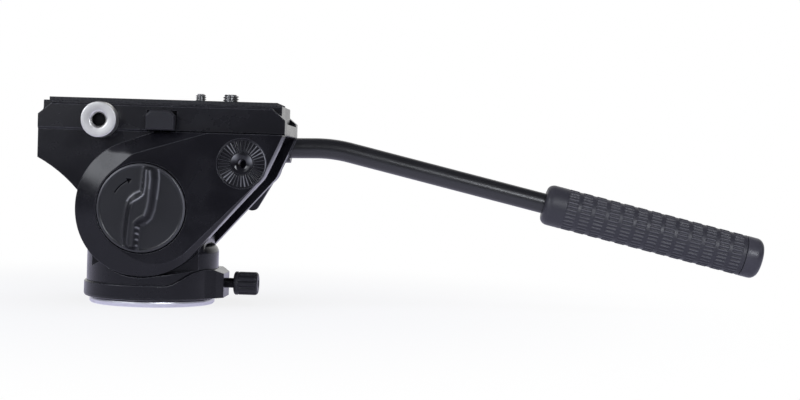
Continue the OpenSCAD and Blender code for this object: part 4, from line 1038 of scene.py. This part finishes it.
WHITE = (1.0, 1.0, 1.0)
FLOOR_FRONT = -0.38
FLOOR_SPAN = 6.0
FLOOR_MATT = (0.76, 0.76, 0.86)
FLOOR_GLOW = (0.82, 0.80, 1.0)
ROOM = (0.84, 0.84, 1.0)
LAMP_COLOUR = (0.91, 0.94, 1.0)
LAMPS = (
    ("upper_left_softbox", (-0.85, -0.6, 0.62), (0.0, 0.0, 0.06), (0.5, 0.5), 4.6),
    ("overhead_softbox", (0.2, 0.1, 1.3), (0.12, 0.0, 0.05), (1.2, 1.2), 9.0),
    ("handle_fill", (0.75, -1.3, 0.66), (0.3, 0.05, 0.06), (0.7, 0.25), 8.5),
    ("right_softbox", (1.1, -0.1, 0.45), (0.0, 0.0, 0.08), (0.5, 0.5), 0.35),
    ("left_panel", (-0.6, -1.2, 0.42), (0.0, 0.0, 0.06), (0.5, 0.5), 2.0),
)
CAMERA_AT = np.array([0.17248, -0.828615, 0.082519])
CAMERA_YAW = math.radians(-1.61)
CAMERA_PITCH = math.radians(-1.098)
CAMERA_ROLL = math.radians(1.755)
CAMERA_SENSOR = 36.0
CAMERA_LENS = 61.54


def backdrop_rays(tree, behind):
    """Share of a ray that sees the backdrop: all from the camera, a given share from gloss or glass."""
    path = add(tree, "LightPath").outputs
    gloss = math_node(tree, "MAXIMUM", path["Is Glossy Ray"], path["Is Transmission Ray"])
    return math_node(tree, "MAXIMUM", path["Is Camera Ray"], math_node(tree, "MULTIPLY", gloss, behind))


def pale_floor():
    """A pale floor that keeps a soft shadow: a glow over a matt floor, which gives way near the object.

    The glow is white to the camera and cool in reflections, where it fades to the front and to the right.
    """
    mesh = bpy.data.meshes.new("floor")
    front = [(-FLOOR_SPAN, FLOOR_FRONT, 0.0), (FLOOR_SPAN, FLOOR_FRONT, 0.0)]
    back = [(FLOOR_SPAN, FLOOR_SPAN, 0.0), (-FLOOR_SPAN, FLOOR_SPAN, 0.0)]
    mesh.from_pydata(front + back, [], [(0, 1, 2, 3)])
    floor = bpy.data.objects.new("floor", mesh)
    bpy.context.scene.collection.objects.link(floor)
    made = bpy.data.materials.new("pale_floor")
    made.use_nodes = True
    tree = made.node_tree
    tree.nodes.clear()
    matt = add(tree, "BsdfDiffuse", {"Color": (*FLOOR_MATT, 1.0)})
    seen = add(tree, "LightPath").outputs["Is Camera Ray"]
    glow = add(tree, "Emission", {"Color": two_tone(tree, seen, FLOOR_GLOW, WHITE), "Strength": 1.0})
    place = add(tree, "TexCoord").outputs["Object"]
    spot = add(tree, "SeparateXYZ", {0: place}).outputs
    to_back, to_right = spread(tree, spot[1], -0.4, 0.2), spread(tree, spot[0], 0.14, 0.3, 1.0, 0.45)
    away = add(tree, "VectorMath", {0: place}, operation="LENGTH").outputs["Value"]
    rays = backdrop_rays(tree, math_node(tree, "MULTIPLY", to_back, to_right))
    share = math_node(tree, "MULTIPLY", rays, spread(tree, away, 0.06, 0.4, 0.84, 1.0))
    mixed = add(tree, "MixShader", {0: share, 1: matt.outputs[0], 2: glow.outputs[0]})
    tree.links.new(mixed.outputs[0], add(tree, "OutputMaterial").inputs[0])
    mesh.materials.append(made)


def white_backdrop():
    """A white backdrop, which gloss sees only behind the object, and a dim room, darker to the right."""
    world = bpy.data.worlds.new("studio")
    bpy.context.scene.world = world
    world.use_nodes = True
    tree = world.node_tree
    tree.nodes.clear()
    way = add(tree, "SeparateXYZ", {0: add(tree, "TexCoord").outputs["Generated"]}).outputs
    seen = backdrop_rays(tree, spread(tree, way[1], 0.4, 0.95))
    dim = spread(tree, way[0], 0.1, 0.7, 0.13, 0.03)
    room = add(tree, "Background", {"Color": (*ROOM, 1.0), "Strength": dim})
    white = add(tree, "Background", {"Color": (*WHITE, 1.0), "Strength": 1.0})
    mixed = add(tree, "MixShader", {0: seen, 1: room.outputs[0], 2: white.outputs[0]})
    tree.links.new(mixed.outputs[0], add(tree, "OutputWorld").inputs[0])


def aim(holder, at, towards, roll=0.0):
    """Sets a lamp or the camera at a point, looking at another, turned by roll about its own view line."""
    back = np.array(at) - np.array(towards)
    back = back / np.linalg.norm(back)
    right = np.cross([0.0, 0.0, 1.0], back)
    right /= np.linalg.norm(right)
    up = np.cross(back, right)
    c, s = math.cos(roll), math.sin(roll)
    turn = np.eye(4)
    turn[:3] = np.stack([c * right + s * up, c * up - s * right, back, at], -1)
    holder.matrix_world = turn.T.tolist()


def lamps():
    """Five soft lamps. The overhead one lights the part but does not show in its gloss."""
    for name, at, towards, size, power in LAMPS:
        lamp = bpy.data.lights.new(name, "AREA")
        lamp.shape = "RECTANGLE"
        lamp.size, lamp.size_y = size
        lamp.energy = power
        lamp.color = LAMP_COLOUR
        holder = bpy.data.objects.new(name, lamp)
        bpy.context.scene.collection.objects.link(holder)
        holder.visible_glossy = name != "overhead_softbox"
        aim(holder, at, towards)


def camera():
    """The photograph's place: level with the rosettes, in front of the handle's first third."""
    made = bpy.data.cameras.new("camera")
    holder = bpy.data.objects.new("camera", made)
    bpy.context.scene.collection.objects.link(holder)
    made.sensor_width, made.lens = CAMERA_SENSOR, CAMERA_LENS
    made.clip_start, made.clip_end = 0.05, 30.0
    level_way = math.cos(CAMERA_PITCH)
    way = [math.sin(CAMERA_YAW) * level_way, math.cos(CAMERA_YAW) * level_way, math.sin(CAMERA_PITCH)]
    aim(holder, CAMERA_AT, CAMERA_AT + np.array(way), CAMERA_ROLL)
    bpy.context.scene.camera = holder


pale_floor()
white_backdrop()
lamps()
camera()
bpy.context.scene.view_settings.view_transform = "Standard"
